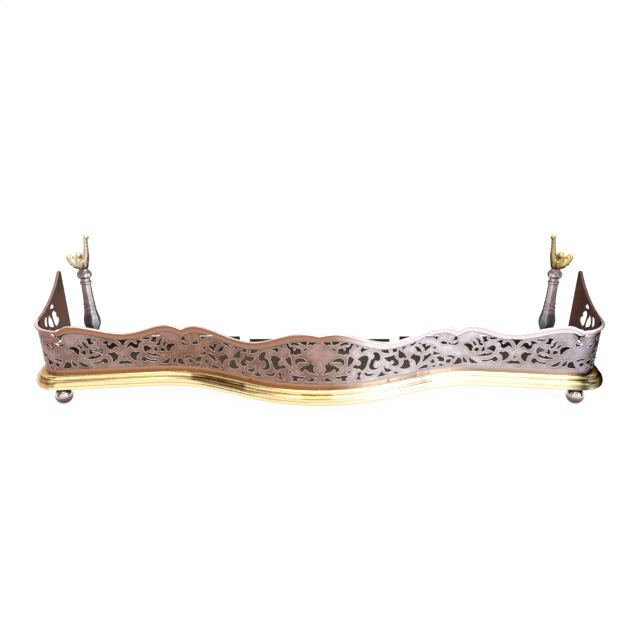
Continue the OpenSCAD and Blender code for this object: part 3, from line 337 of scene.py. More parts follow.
brass, tree, surface = start_material("polished_brass", 1.0)
tarnish = add_noise(tree, 14, 5, 0.6)
fine_wear = add_noise(tree, 420, 3, 0.6, (0.25, 0.25, 1))
# Brass colour along the length with painted light: paler towards the lit right, a painted
# highlight and dark painted reflections at the right end, grey-green and brown ones at the left
# end.
brass_tone_and_painted_light = add_ramp(tree, add_length_share(tree), [
    (0.0, (0.66, 0.66, 0.50)), (0.012, (0.74, 0.70, 0.50)), (0.018, (0.66, 0.42, 0.19)),
    (0.036, (0.74, 0.47, 0.20)), (0.042, (0.98, 0.87, 0.50)), (0.25, (0.98, 0.87, 0.50)),
    (0.48, (0.93, 0.78, 0.42)), (0.62, (0.99, 0.97, 0.88)), (0.8, (0.97, 0.93, 0.72)),
    (0.92, (0.95, 0.90, 0.66)), (0.941, (0.45, 0.38, 0.19)), (0.948, (0.06, 0.055, 0.03)),
    (0.956, (0.07, 0.065, 0.035)), (0.963, (0.70, 0.67, 0.54)), (0.969, (0.30, 0.27, 0.15)),
    (0.979, (0.06, 0.05, 0.022)), (1.0, (0.11, 0.09, 0.04))])
moulding_low, moulding_high = (corner.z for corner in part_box("front_moulding"))
# Painted shade: darker in the two grooves and at the top and bottom edges.
groove_shade = add_ramp(tree, add_share(tree, "Z", moulding_low, moulding_high), [
    (0.0, (0.62, 0.48, 0.32)), (0.06, grey(1)), (0.235, grey(1)), (0.27, (0.82, 0.72, 0.55)),
    (0.31, grey(1)), (0.585, grey(1)), (0.625, (0.86, 0.76, 0.56)), (0.665, grey(1)),
    (0.95, grey(1)), (1.0, (0.8, 0.68, 0.5))])


def add_band(tree, share, reach, soft):
    """1 where the share lies in the reach, falling to 0 over the soft width beyond it."""
    return add_ramp(tree, share, [(reach[0] - soft, grey(0)), (reach[0], grey(1)),
        (reach[1], grey(1)), (reach[1] + soft, grey(0))])


PATCH_SOFT_X = 0.006
PATCH_SOFT_Z = 0.04


def add_reflection_patch(tree, colour, stain_and_reflection, reach_x, reach_z):
    """The colour, with a painted reflection laid inside a patch of the moulding given in shares
    of its X and Z.
    """
    wide = add_band(tree, add_length_share(tree), reach_x, PATCH_SOFT_X)
    high_share = add_share(tree, "Z", moulding_low, moulding_high)
    high = add_band(tree, high_share, reach_z, PATCH_SOFT_Z)
    streaks = add_ramp(tree, add_noise(tree, 70, 4, 0.6, (0.3, 0.3, 2)),
        [(0.38, grey(1)), (0.62, grey(0.7))])
    patch = add_product(tree, add_product(tree, wide, high), streaks)
    return add_mix(tree, patch, colour, stain_and_reflection)


brass_colour = add_mix(tree, add_ramp(tree, tarnish, [(0.45, grey(0)), (0.78, grey(0.35))]),
    brass_tone_and_painted_light, (0.74, 0.50, 0.22))
# Painted reflections on the moulding: a dark one left of the middle, a brown one at the middle
# and one near the left end.
for stain_and_reflection, reach_x, reach_z in (
        ((0.20, 0.085, 0.02), (0.282, 0.372), (0.52, 0.9)),
        ((0.62, 0.44, 0.20), (0.474, 0.516), (0.45, 0.75)),
        ((0.30, 0.15, 0.055), (0.02, 0.036), (0.4, 0.75))):
    brass_colour = add_reflection_patch(tree, brass_colour, stain_and_reflection, reach_x, reach_z)
tree.links.new(add_product(tree, brass_colour, groove_shade), surface.inputs["Base Color"])
# Painted reflection: the specular tint dims in bands at the right end, with a brighter band
# between them.
brass_painted_glance = add_ramp(tree, add_length_share(tree), [(0.936, grey(1)), (0.948, grey(0.06)),
    (0.956, grey(0.06)), (0.962, grey(0.8)), (0.972, grey(0.06))])
tree.links.new(brass_painted_glance, surface.inputs["Specular Tint"])
tree.links.new(add_ramp(tree, fine_wear, [(0.3, grey(0.14)), (0.75, grey(0.26))]),
    surface.inputs["Roughness"])
add_bump(tree, surface, tarnish, 0.08, 0.002)

for node in ("front_moulding", "left_moulding", "right_moulding", "moulding_end_plates"):
    piece = weld_copy(node, node + "_brass", "fender", 30)
    piece.data.materials.append(brass)
paint_node("moulding_pins", brass)

# ---------------------------------------------------------------- ball feet
# Turned steel balls, polished bright, with a little brown in the polish. Painted shade
# darkens them towards the floor, a painted highlight lies above their middle, and the top is
# painted darker.
bright, tree, surface = start_material("polished_steel", 1.0)
stain_and_reflection = add_noise(tree, 45, 4, 0.6)
steel_colour = add_mix(tree, add_ramp(tree, stain_and_reflection, [(0.45, grey(0)), (0.7, grey(0.6))]),
    (0.58, 0.55, 0.57), (0.42, 0.34, 0.31))
BALL_TOP = 0.038  # height of a ball above the floor
# Painted light by height: shade below, a highlight above the middle, darker at the top.
ball_painted_light = add_ramp(tree, add_share(tree, "Z", 0, BALL_TOP), [
    (0.0, (0.13, 0.07, 0.055)), (0.35, (0.24, 0.14, 0.11)), (0.5, (0.46, 0.31, 0.26)),
    (0.62, (1.2, 1.1, 1.05)), (0.72, grey(1.5)), (0.8, grey(0.7)), (0.9, grey(0.35))])
tree.links.new(add_product(tree, steel_colour, ball_painted_light), surface.inputs["Base Color"])
tree.links.new(add_ramp(tree, stain_and_reflection, [(0.3, grey(0.10)), (0.8, grey(0.2))]),
    surface.inputs["Roughness"])
add_bump(tree, surface, stain_and_reflection, 0.05, 0.001)

TURNED_SIDES = 96
SAME_RING = 0.0002  # corners of one height whose radii differ by less make one ring
SAME_POINT = 0.00005  # points of the outline that are closer are one
SEAM = 0.00001  # width within which the spun surface is closed


def spin_outline(node, name, body, smooth):
    """A turned piece: the outline of its solid, spun round its own axis and smooth up to
    the angle given in degrees."""
    low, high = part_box(node)
    axis = (low + high) / 2
    rings = {}
    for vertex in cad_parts[node].data.vertices:
        reach = math.hypot(vertex.co.x - axis.x, vertex.co.y - axis.y)
        rings.setdefault(round(vertex.co.z, 5), []).append(reach)
    outline = [(0, low.z)]
    for z in sorted(rings):
        ends = [min(rings[z]), max(rings[z])]
        if ends[1] - ends[0] < SAME_RING:
            ends = ends[1:]
        elif abs(ends[1] - outline[-1][0]) < abs(ends[0] - outline[-1][0]):
            ends.reverse()
        outline += [(reach, z) for reach in ends
                    if math.dist((reach, z), outline[-1]) > SAME_POINT]
    outline.append((0, high.z))
    mesh = bpy.data.meshes.new(name)
    mesh.from_pydata([(axis.x + reach, axis.y, z) for reach, z in outline],
        [(k, k + 1) for k in range(len(outline) - 1)], [])
    piece = bpy.data.objects.new(name, mesh)
    scene.collection.objects.link(piece)
    only(piece)
    bpy.ops.object.mode_set(mode="EDIT")
    bpy.ops.mesh.select_all(action="SELECT")
    bpy.ops.mesh.spin(steps=TURNED_SIDES, angle=2 * math.pi, center=(axis.x, axis.y, 0),
        axis=(0, 0, 1))
    bpy.ops.mesh.select_all(action="SELECT")
    bpy.ops.mesh.remove_doubles(threshold=SEAM)
    bpy.ops.mesh.normals_make_consistent(inside=False)
    bpy.ops.mesh.select_all(action="DESELECT")
    bpy.ops.object.mode_set(mode="OBJECT")
    bpy.ops.object.shade_smooth_by_angle(angle=math.radians(smooth))
    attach(piece, body)
    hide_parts(node)
    return piece


for node in ("front_left_foot", "front_right_foot", "back_left_foot", "back_right_foot"):
    piece = spin_outline(node, node + "_ball", "fender", 40)
    piece.data.materials.append(bright)
for node in ("strap_rivets", "cleat_rivets", "plate_rivets", "socket_rivets"):
    paint_node(node, bright)

# ---------------------------------------------------------------- pierced gallery
# Sheet steel, pierced and engraved by hand. A line follows each cut edge, short strokes
# stand on it like the veins of a leaf, and the arris itself is worn bright. A painted
# highlight runs beside each cut edge, painted shadow lies under the rim bead and at the
# foot of the sheet, and painted shade darkens its right end.
FINE = 0.0032  # longest edge left on the engraved face
MOST_ROUNDS = 8  # of dividing that face
WIRE = 0.0004  # radius of the worn arris
WALL = 0.0006  # a wall of a piercing goes deeper than this
SLIM = 0.0008  # taken off each side of a scroll
FOOT_BAND = 0.0095  # height of the plain band at the foot of the sheet
CORNER_R = 0.040  # radius of the front's two corners, to the sheet's outer side
SHEET_SMOOTH = 24  # degrees between two faces that still look like one curve
MARK_STEP = 0.0005  # spacing of the engraver's marks along a cut edge
LONGEST_EDGE = 0.02  # a longer step only closes a chain, and carries no marks
CHAIN_GAP = 0.05  # length left out between the runs of two cut edges
VEIN_JUMP = 0.006  # a face whose runs differ by more lies midway between two cut edges
STROKE = 0.2  # half the spacing of the engraved strokes, in centimetres
LINE_REACH = 10  # the lines' stops are shares of this distance from a cut edge, in millimetres
RIM_REACH = 20  # and those of the top band of this distance from the rim bead
MITRE = 1.6  # the most that the move of a point in a corner is lengthened
foot_line = moulding_high + FOOT_BAND
gallery_high, wing_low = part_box("front_gallery")[1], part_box("right_wing")[0]
corner = Vector((gallery_high.x - CORNER_R, wing_low.y, 0))


def is_face(face, out):
    """True for a face of the sheet's outer side."""
    return face.normal.dot(out) > 0.8


def outward(point, corner):
    """Direction out of the fender at a point of its sheets."""
    side = 1 if point.x > 0 else -1
    away = Vector((max(0, abs(point.x) - corner.x) * side, min(0, point.y - corner.y), 0))
    if away.length < 1e-6:
        return Vector((side, 0, 0))
    return away.normalized()


def widen_piercings(piece, corner, low, by):
    """Moves the walls of the piercings back, so that the sheet's scrolls are slimmer."""
    cells = bmesh.new()
    cells.from_mesh(piece.data)
    moves = []
    for vertex in cells.verts:
        if vertex.co.z < low:
            continue
        out = outward(vertex.co, corner)
        walls = [face for face in vertex.link_faces if abs(face.normal.dot(out)) < 0.5]
        if not walls:
            continue
        back = sum((face.normal for face in walls), Vector()).normalized()
        stretch = min(MITRE, 1 / max(0.5, min(back.dot(face.normal) for face in walls)))
        moves.append((vertex, back * (-by * stretch)))
    for vertex, move in moves:
        vertex.co += move
    cells.to_mesh(piece.data)
    cells.free()


def refine_face(piece, corner):
    """Divides the outer face of a sheet until no edge is longer than FINE."""
    only(piece)
    bpy.ops.object.mode_set(mode="EDIT")
    bpy.ops.mesh.select_mode(type="EDGE")
    for _ in range(MOST_ROUNDS):
        bpy.ops.mesh.select_all(action="DESELECT")
        cells = bmesh.from_edit_mesh(piece.data)
        fronts = [face for face in cells.faces
                  if is_face(face, outward(face.calc_center_median(), corner))]
        long_ones = {edge for face in fronts for edge in face.edges
                     if edge.calc_length() > FINE}
        if not long_ones:
            break
        for edge in long_ones:
            edge.select_set(True)
        bpy.ops.mesh.subdivide(number_cuts=1)
        bpy.ops.mesh.select_mode(type="FACE")
        bpy.ops.mesh.select_all(action="DESELECT")
        cells = bmesh.from_edit_mesh(piece.data)
        for face in cells.faces:
            if is_face(face, outward(face.calc_center_median(), corner)):
                face.select_set(True)
        bpy.ops.mesh.quads_convert_to_tris()
        bpy.ops.mesh.beautify_fill(angle_limit=math.radians(1))
        bpy.ops.mesh.select_mode(type="EDGE")
    bpy.ops.mesh.select_all(action="DESELECT")
    bpy.ops.object.mode_set(mode="OBJECT")


def cut_edges(mesh, corner, low):
    """Vertex pairs of the arris between the outer face and the walls of the piercings."""
    owners = {}
    for face in mesh.polygons:
        for key in face.edge_keys:
            owners.setdefault(key, []).append(face)
    pairs = []
    for key, faces in owners.items():
        if len(faces) != 2:
            continue
        middle = (mesh.vertices[key[0]].co + mesh.vertices[key[1]].co) / 2
        out = outward(middle, corner)
        wall, front = sorted(faces, key=lambda face: face.normal.dot(out))
        deep = max((middle - mesh.vertices[k].co).dot(out) for k in wall.vertices)
        if is_face(front, out) and wall.normal.dot(out) < 0.5 and deep > WALL and middle.z > low:
            pairs.append(key)
    return pairs


def in_chains(pairs):
    """The same pairs strung into chains of vertices."""
    near = {}
    for a, b in pairs:
        near.setdefault(a, []).append(b)
        near.setdefault(b, []).append(a)
    chains, used = [], set()
    for start in near:
        if start in used:
            continue
        chain, here = [start], start
        used.add(start)
        while True:
            ahead = [k for k in near[here] if k not in used]
            if not ahead:
                break
            here = ahead[0]
            used.add(here)
            chain.append(here)
        chains.append(chain)
    return chains


def find_near(places):
    """A finder of the nearest of the places."""
    finder = KDTree(len(places))
    for index, place in enumerate(places):
        finder.insert(place, index)
    finder.balance()
    return finder


def add_rim_gap(piece, rim):
    """An attribute with each point's distance to the rim bead, in millimetres. Each edge of
    the bead is marked at four places."""
    points = [vertex.co for vertex in rim.vertices]
    finder = find_near([points[edge.vertices[0]].lerp(points[edge.vertices[1]], k / 4)
                        for edge in rim.edges for k in range(4)])
    gap = piece.data.attributes.new("rim_gap", "FLOAT", "POINT")
    for vertex, value in zip(piece.data.vertices, gap.data):
        value.value = finder.find(vertex.co)[2] * 1000


def add_engraving_map(piece, corner, low):
    """A UV map whose u runs along the nearest cut edge, in centimetres, and whose v is the
    distance to it, in millimetres. The attribute vein is 1 midway between two edges."""
    mesh = piece.data
    marks = []
    run = 0.0
    for chain in in_chains(cut_edges(mesh, corner, low)):
        for here, ahead in zip(chain, chain[1:] + chain[:1]):
            a, b = mesh.vertices[here].co, mesh.vertices[ahead].co
            length = (b - a).length
            if length > LONGEST_EDGE:
                continue
            steps = max(1, round(length / MARK_STEP))
            for k in range(steps):
                marks.append((a.lerp(b, k / steps), run + length * k / steps))
            run += length
        run += CHAIN_GAP
    finder = find_near([place for place, _ in marks])
    along, apart = [], []
    for vertex in mesh.vertices:
        _, index, distance = finder.find(vertex.co)
        along.append(marks[index][1])
        apart.append(distance)
    mesh.uv_layers.new(name="engraving")
    mesh.attributes.new("vein", "FLOAT", "CORNER")
    layer, centre = mesh.uv_layers["engraving"], mesh.attributes["vein"]
    for face in mesh.polygons:
        runs = [along[k] for k in face.vertices]
        split = 1.0 if max(runs) - min(runs) > VEIN_JUMP else 0.0
        for loop in face.loop_indices:
            vertex = mesh.loops[loop].vertex_index
            layer.data[loop].uv = (along[vertex] * 100, apart[vertex] * 1000)
            centre.data[loop].value = split


def add_arris(piece, name, pairs, material, body):
    """A fine bright wire along the given edges of a piece, kept inside the solids' box."""
    wire = bpy.data.objects.new(name, piece.data.copy())
    scene.collection.objects.link(wire)
    only(wire)
    cells = bmesh.new()
    cells.from_mesh(wire.data)
    wanted = {frozenset(pair) for pair in pairs}
    spare = [edge for edge in cells.edges
             if frozenset(v.index for v in edge.verts) not in wanted]
    bmesh.ops.delete(cells, geom=spare, context="EDGES")
    bmesh.ops.delete(cells, geom=[v for v in cells.verts if not v.link_edges], context="VERTS")
    cells.to_mesh(wire.data)
    cells.free()
    bpy.ops.object.convert(target="CURVE")
    wire.data.bevel_depth = WIRE
    wire.data.bevel_resolution = 1
    bpy.ops.object.convert(target="MESH")
    bpy.ops.object.shade_smooth()
    for vertex in wire.data.vertices:
        vertex.co = [min(max(place, low), high)
                     for place, low, high in zip(vertex.co, *cad_box)]
    wire.data.materials.clear()
    wire.data.materials.append(material)
    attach(wire, body)


def add_attribute(tree, name):
    mark = tree.nodes.new("ShaderNodeAttribute")
    mark.attribute_name = name
    return mark.outputs["Fac"]


steel, tree, surface = start_material("engraved_steel", 0.9)
along = add_length_share(tree)
cloud = add_noise(tree, 24, 4, 0.6)
# Along the length the sheet is browner on the left and pale mauve on the right, partly its
# patina and partly a painted reflection of the room; painted shade darkens the right end.
brown_tone = add_ramp(tree, along, [(0.0, (0.27, 0.15, 0.12)), (0.3, (0.27, 0.125, 0.08)),
    (0.52, (0.35, 0.20, 0.16)), (0.58, (0.72, 0.62, 0.62)), (0.75, (0.66, 0.56, 0.56)),
    (0.9, (0.46, 0.36, 0.35)), (0.950, (0.36, 0.30, 0.34)), (0.959, (0.16, 0.10, 0.09)),
    (0.965, (0.06, 0.03, 0.02))])
mauve_tone = add_ramp(tree, along, [(0.0, (0.36, 0.24, 0.23)), (0.12, (0.42, 0.28, 0.26)),
    (0.3, (0.36, 0.19, 0.13)), (0.52, (0.47, 0.31, 0.27)), (0.58, (0.88, 0.79, 0.82)),
    (0.75, (0.77, 0.69, 0.74)), (0.9, (0.60, 0.51, 0.53)), (0.950, (0.50, 0.46, 0.58)),
    (0.959, (0.24, 0.17, 0.19)), (0.965, (0.09, 0.05, 0.04))])
field_tone = add_mix(tree, add_ramp(tree, cloud, [(0.40, grey(0)), (0.58, grey(1))]),
    brown_tone, mauve_tone)
# The plain bands carry the same painted reflection and the same painted shade at the right end.
plain_tone = add_ramp(tree, along, [(0.0, (0.26, 0.12, 0.085)), (0.08, (0.40, 0.20, 0.125)),
    (0.52, (0.42, 0.22, 0.145)), (0.58, (0.88, 0.80, 0.80)), (0.93, (0.80, 0.72, 0.75)),
    (0.951, (0.60, 0.52, 0.58)), (0.960, (0.22, 0.13, 0.12)), (0.966, (0.08, 0.04, 0.03))])
# Painted sheen on the foot band: lighter and bluer on the left half, darker on the right half.
foot_painted_sheen = add_ramp(tree, along, [(0.5, (1.15, 1.2, 1.25)), (0.58, (0.68, 0.62, 0.62))])
engraving = tree.nodes.new("ShaderNodeUVMap")
engraving.uv_map = "engraving"
engraving_split = tree.nodes.new("ShaderNodeSeparateXYZ")
tree.links.new(engraving.outputs[0], engraving_split.inputs[0])
apart = add_math(tree, "MULTIPLY", engraving_split.outputs["Y"], 1 / LINE_REACH)
# A painted highlight right at the cut edge, then two engraved lines further in.
edge_highlight_and_lines = add_ramp(tree, apart, [(0.0, grey(1.6)), (0.06, grey(1.5)),
    (0.10, grey(0.60)), (0.14, grey(0.64)), (0.19, grey(1.0)), (0.32, grey(1.0)),
    (0.36, grey(0.78)), (0.41, grey(0.78)), (0.46, grey(1.02))])
strokes = add_math(tree, "PINGPONG", engraving_split.outputs["X"], STROKE)
stroke_line = add_ramp(tree, add_math(tree, "MULTIPLY", strokes, 1 / STROKE),
    [(0.0, grey(0.66)), (0.3, grey(0.76)), (0.5, grey(1.0))])
stroke_reach = add_ramp(tree, apart, [(0.12, grey(0)), (0.17, grey(1)), (0.36, grey(0.8)),
    (0.5, grey(0))])
hatch = add_mix(tree, stroke_reach, grey(1.0), stroke_line)
engraved_and_highlight = add_product(tree, edge_highlight_and_lines, hatch)
vein_share = add_product(tree, add_attribute(tree, "vein"),
    add_ramp(tree, apart, [(0.3, grey(0.8)), (0.6, grey(0))]))
engraved_and_highlight = add_mix(tree, vein_share, engraved_and_highlight, grey(0.72))
mottle = add_noise(tree, 55, 5, 0.65)
engraved_and_highlight = add_product(tree, engraved_and_highlight,
    add_ramp(tree, mottle, [(0.3, grey(0.78)), (0.65, grey(1.04))]))
FOOT_EDGE = 0.0012  # the plain band fades into the field over twice this height
foot_mask = add_ramp(tree, add_share(tree, "Z", foot_line - FOOT_EDGE, foot_line + FOOT_EDGE),
    [(0.3, grey(0)), (0.5, grey(1))])
# Painted shadow where the sheet meets the moulding, and an engraved line at the top of the foot
# band.
foot_shadow_and_line = add_ramp(tree, add_share(tree, "Z", moulding_high - 0.001, foot_line + 0.002), [
    (0.0, grey(0.75)), (0.07, grey(0.85)), (0.13, grey(1)), (0.78, grey(1)), (0.83, grey(0.7)),
    (0.88, grey(0.7)), (0.93, grey(1))])
rim_share = tree.nodes.new("ShaderNodeMapRange")
rim_share.inputs["From Max"].default_value = RIM_REACH
tree.links.new(add_attribute(tree, "rim_gap"), rim_share.inputs["Value"])
head_mask = add_ramp(tree, rim_share.outputs[0], [(0.48, grey(0)), (0.54, grey(1))])
# Painted shadow just under the rim bead, and an engraved line along the edge of the top band.
rim_shadow_and_head_line = add_ramp(tree, rim_share.outputs[0], [(0.0, grey(0.7)), (0.08, grey(1)),
    (0.46, grey(1)), (0.49, grey(0.4)), (0.54, grey(0.4)), (0.57, grey(1))])
field_mask = add_product(tree, foot_mask, head_mask)
plain_tone = add_mix(tree, foot_mask, add_product(tree, plain_tone, foot_painted_sheen), plain_tone)
base_tone = add_mix(tree, field_mask, plain_tone, add_product(tree, field_tone, engraved_and_highlight))
base_tone = add_product(tree, base_tone, rim_shadow_and_head_line)
tree.links.new(add_product(tree, base_tone, foot_shadow_and_line), surface.inputs["Base Color"])
tree.links.new(add_ramp(tree, mottle, [(0.3, grey(0.40)), (0.8, grey(0.28))]),
    surface.inputs["Roughness"])
# Painted shade: the reflection dims towards the right end.
tree.links.new(add_ramp(tree, along, [(0.950, grey(1)), (0.965, (0.12, 0.07, 0.05))]),
    surface.inputs["Specular Tint"])
add_bump(tree, surface, engraved_and_highlight, 0.3, 0.0003)

edge_steel, tree, surface = start_material("worn_steel_edge", 0.9)
# The worn arris, warmer on the left like the sheet, darkened at the right end with painted
# shade.
edge_tone = add_ramp(tree, add_length_share(tree), [(0.0, (0.86, 0.70, 0.64)),
    (0.45, (0.88, 0.72, 0.66)), (0.62, (0.98, 0.95, 0.96)), (0.95, (0.94, 0.90, 0.93)),
    (1.0, (0.40, 0.30, 0.28))])
edge_rub = add_ramp(tree, add_noise(tree, 90, 3), [(0.38, grey(0.5)), (0.6, grey(1.0))])
tree.links.new(add_product(tree, edge_tone, edge_rub), surface.inputs["Base Color"])
surface.inputs["Roughness"].default_value = 0.3

gallery = weld_copy("front_gallery", "gallery_sheet", "fender", SHEET_SMOOTH)
widen_piercings(gallery, corner, foot_line, SLIM)
refine_face(gallery, corner)
gallery.data.materials.append(steel)
add_engraving_map(gallery, corner, foot_line)
add_rim_gap(gallery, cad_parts["front_rim"].data)
add_arris(gallery, "gallery_arris", cut_edges(gallery.data, corner, foot_line), edge_steel,
    "fender")
only(gallery)
bpy.ops.object.shade_smooth_by_angle(angle=math.radians(SHEET_SMOOTH))

# ---------------------------------------------------------------- wings
# The same sheet, browner inside and left plainer, with a pierced drop and a flower. Each
# wing is cut in one piece, joined to the end of the front and sooty towards its peak.


def add_half_share(tree):
    """0 on the left half of the fender, 1 on the right half."""
    return add_share(tree, "X", -0.1, 0.1)


wing_steel, tree, surface = start_material("wing_steel", 0.5)
wing_marks = add_noise(tree, 26, 6, 0.65)
# Painted shade: the right wing is darker than the left.
wing_side = add_half_share(tree)
wing_brown = add_mix(tree, wing_side, (0.38, 0.17, 0.09), (0.22, 0.075, 0.036))
wing_dark = add_mix(tree, wing_side, (0.20, 0.125, 0.11), (0.07, 0.038, 0.030))
SOOT_FOOT = 0.14  # height from which the soot thickens
wing_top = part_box("left_wing")[1].z
wing_soot = add_ramp(tree, add_share(tree, "Z", SOOT_FOOT, wing_top), [(0.0, grey(1.1)),
    (0.45, grey(1.0)), (1.0, grey(0.5))])
wing_cloud = add_ramp(tree, add_noise(tree, 13, 5, 0.65), [(0.42, grey(0)), (0.58, grey(1))])
wing_tone = add_product(tree, add_mix(tree, wing_cloud, wing_brown, wing_dark), wing_soot)
wing_mottle = add_ramp(tree, wing_marks, [(0.3, grey(0.65)), (0.7, grey(1.15))])
tree.links.new(add_product(tree, wing_tone, wing_mottle), surface.inputs["Base Color"])
tree.links.new(add_ramp(tree, wing_marks, [(0.3, grey(0.5)), (0.8, grey(0.34))]),
    surface.inputs["Roughness"])
add_bump(tree, surface, wing_marks, 0.2, 0.0008)
for node in ("left_wing", "right_wing"):
    piece = weld_copy(node, node + "_sheet", "fender", SHEET_SMOOTH)
    piece.data.materials.append(wing_steel)
    add_arris(piece, node + "_arris", cut_edges(piece.data, corner, foot_line), edge_steel,
        "fender")

# ---------------------------------------------------------------- rim beads
# A bead of bright steel, rolled over the cut top of each sheet and rubbed by hands. Its
# crown is painted light, as lit from above; below it the bead keeps the tone of the sheet,
# and on the wings it is brown all round. Painted shade darkens it towards the right end.
RIM_SMOOTH = 48  # degrees
rim_steel, tree, surface = start_material("rim_steel", 0.9)
rub = add_noise(tree, 70, 5, 0.6)
# Painted shade darkens the bead towards the right end.
rim_tone = add_ramp(tree, add_length_share(tree), [(0.0, (0.86, 0.76, 0.72)),
    (0.45, (0.82, 0.70, 0.65)), (0.62, (0.95, 0.93, 0.93)), (0.965, (0.95, 0.93, 0.94)),
    (0.976, (0.40, 0.30, 0.28)), (1.0, (0.20, 0.12, 0.10))])
rubbed_and_lit_crown = add_product(tree, rim_tone,
    add_ramp(tree, rub, [(0.3, grey(0.8)), (0.6, grey(1.0))]))
# Below the crown: the sheet's tones, with its painted reflection and painted shade at the right
# end.
under_tone = add_ramp(tree, add_length_share(tree), [(0.0, (0.38, 0.165, 0.09)),
    (0.3, (0.36, 0.145, 0.075)), (0.52, (0.41, 0.185, 0.11)), (0.58, (0.86, 0.78, 0.78)),
    (0.94, (0.78, 0.68, 0.70)), (0.97, (0.30, 0.20, 0.18)), (1.0, (0.16, 0.08, 0.06))])


def add_top_share(tree, low, high):
    """1 on faces that look up, 0 on faces that look out."""
    facing = tree.nodes.new("ShaderNodeNewGeometry")
    split = tree.nodes.new("ShaderNodeSeparateXYZ")
    tree.links.new(facing.outputs["Normal"], split.inputs[0])
    return add_ramp(tree, split.outputs["Z"], [(low, grey(0)), (high, grey(1))])


# Painted light: faces that look up take the light crown tone, faces that look out the darker
# one.
tree.links.new(add_mix(tree, add_top_share(tree, 0.5, 0.85), under_tone, rubbed_and_lit_crown),
    surface.inputs["Base Color"])
surface.inputs["Roughness"].default_value = 0.26
piece = weld_copy("front_rim", "front_rim_bead", "fender", RIM_SMOOTH)
piece.data.materials.append(rim_steel)

wing_rim_steel, tree, surface = start_material("wing_rim_steel", 0.35)
# Painted shade darkens the wing rims towards the right end.
wing_rim_tone = add_ramp(tree, add_length_share(tree), [
    (0.0, (0.38, 0.24, 0.19)), (0.5, (0.30, 0.18, 0.14)), (1.0, (0.09, 0.05, 0.04))])
wing_rub = add_ramp(tree, add_noise(tree, 70, 5, 0.6), [(0.3, grey(0.6)), (0.7, grey(1.1))])
tree.links.new(add_product(tree, wing_rim_tone, wing_rub), surface.inputs["Base Color"])
surface.inputs["Roughness"].default_value = 0.4
surface.inputs["Specular IOR Level"].default_value = 0.3
for node in ("left_wing_rim", "right_wing_rim"):
    piece = weld_copy(node, node + "_bead", "fender", RIM_SMOOTH)
    piece.data.materials.append(wing_rim_steel)

# ---------------------------------------------------------------- fire-iron posts
# Balusters turned from steel bar and polished, with rings cut sharp and a swelling belly.
# A spigot holds each in its socket. The colour is painted light: a highlight down the side
# that faces the room, shade and dark reflection elsewhere, darkest on the belly.
SHEEN_TURN = math.radians(47)  # how far that side is turned in from the front


def add_facing(tree, direction):
    """1 on faces of the piece, as it was made, that look along the direction, 0 on those
    that look the other way."""
    place = tree.nodes.new("ShaderNodeTexCoord")
    facing = tree.nodes.new("ShaderNodeVectorMath")
    facing.operation = "DOT_PRODUCT"
    facing.inputs[1].default_value = direction
    tree.links.new(place.outputs["Normal"], facing.inputs[0])
    return add_math(tree, "MULTIPLY_ADD", facing.outputs["Value"], 0.5, 0.5)


for side, across, shaft_sheen, belly_sheen in (
        ("left", 1, (0.97, 0.95, 0.96), (0.74, 0.78, 0.90)),
        ("right", -1, (0.84, 0.74, 0.75), (0.36, 0.39, 0.45))):
    piece = spin_outline(side + "_post", side + "_post_turned", side + "_rest",
        42)
    low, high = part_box(side + "_post")
    post_steel, tree, surface = start_material(side + "_post_steel", 0.4)
    lower_half = add_ramp(tree, add_share(tree, "Z", low.z, high.z), [(0.50, grey(1)),
        (0.53, grey(0))])
    # Painted shade and dark reflection over the post, darkest on the belly, and a painted
    # highlight.
    shade = add_mix(tree, lower_half, (0.33, 0.225, 0.22), (0.085, 0.07, 0.075))
    sheen = add_mix(tree, lower_half, shaft_sheen, belly_sheen)
    front = add_facing(tree, (across * math.sin(SHEEN_TURN), -math.cos(SHEEN_TURN), 0))
    sheen_and_shade = add_mix(tree, add_ramp(tree, front, [(0.93, grey(0)), (0.965, grey(1))]),
        shade, sheen)
    # Painted shade on the up- and down-facing faces of the rings above the belly.
    ring_shade = add_ramp(tree, add_facing(tree, (0, 0, 1)), [(0.30, grey(0.3)),
        (0.40, grey(1.0)), (0.56, grey(1.0)), (0.64, grey(0.6)), (0.9, grey(0.5))])
    sheen_and_shade = add_product(tree, sheen_and_shade, add_mix(tree, lower_half, ring_shade, grey(1)))
    # Painted shade on faces turned away toward the back.
    turned_away_shade = add_ramp(tree, add_facing(tree, (0, 1, 0)), [(0.35, grey(0)), (0.44, grey(1))])
    tree.links.new(add_mix(tree, turned_away_shade, sheen_and_shade, (0.13, 0.105, 0.11)),
        surface.inputs["Base Color"])
    haze = add_noise(tree, 30, 2, 0.5)
    tree.links.new(add_ramp(tree, haze, [(0.35, grey(0.16)), (0.65, grey(0.24))]),
        surface.inputs["Roughness"])
    piece.data.materials.append(post_steel)

# ---------------------------------------------------------------- crooks
# Brass leaves cast round a cup: one stands up and curls at its tip, one rolls over the
# post and one hooks outward. Fire irons lean in the gap between the first two.
cast_brass, tree, surface = start_material("cast_brass", 1.0)
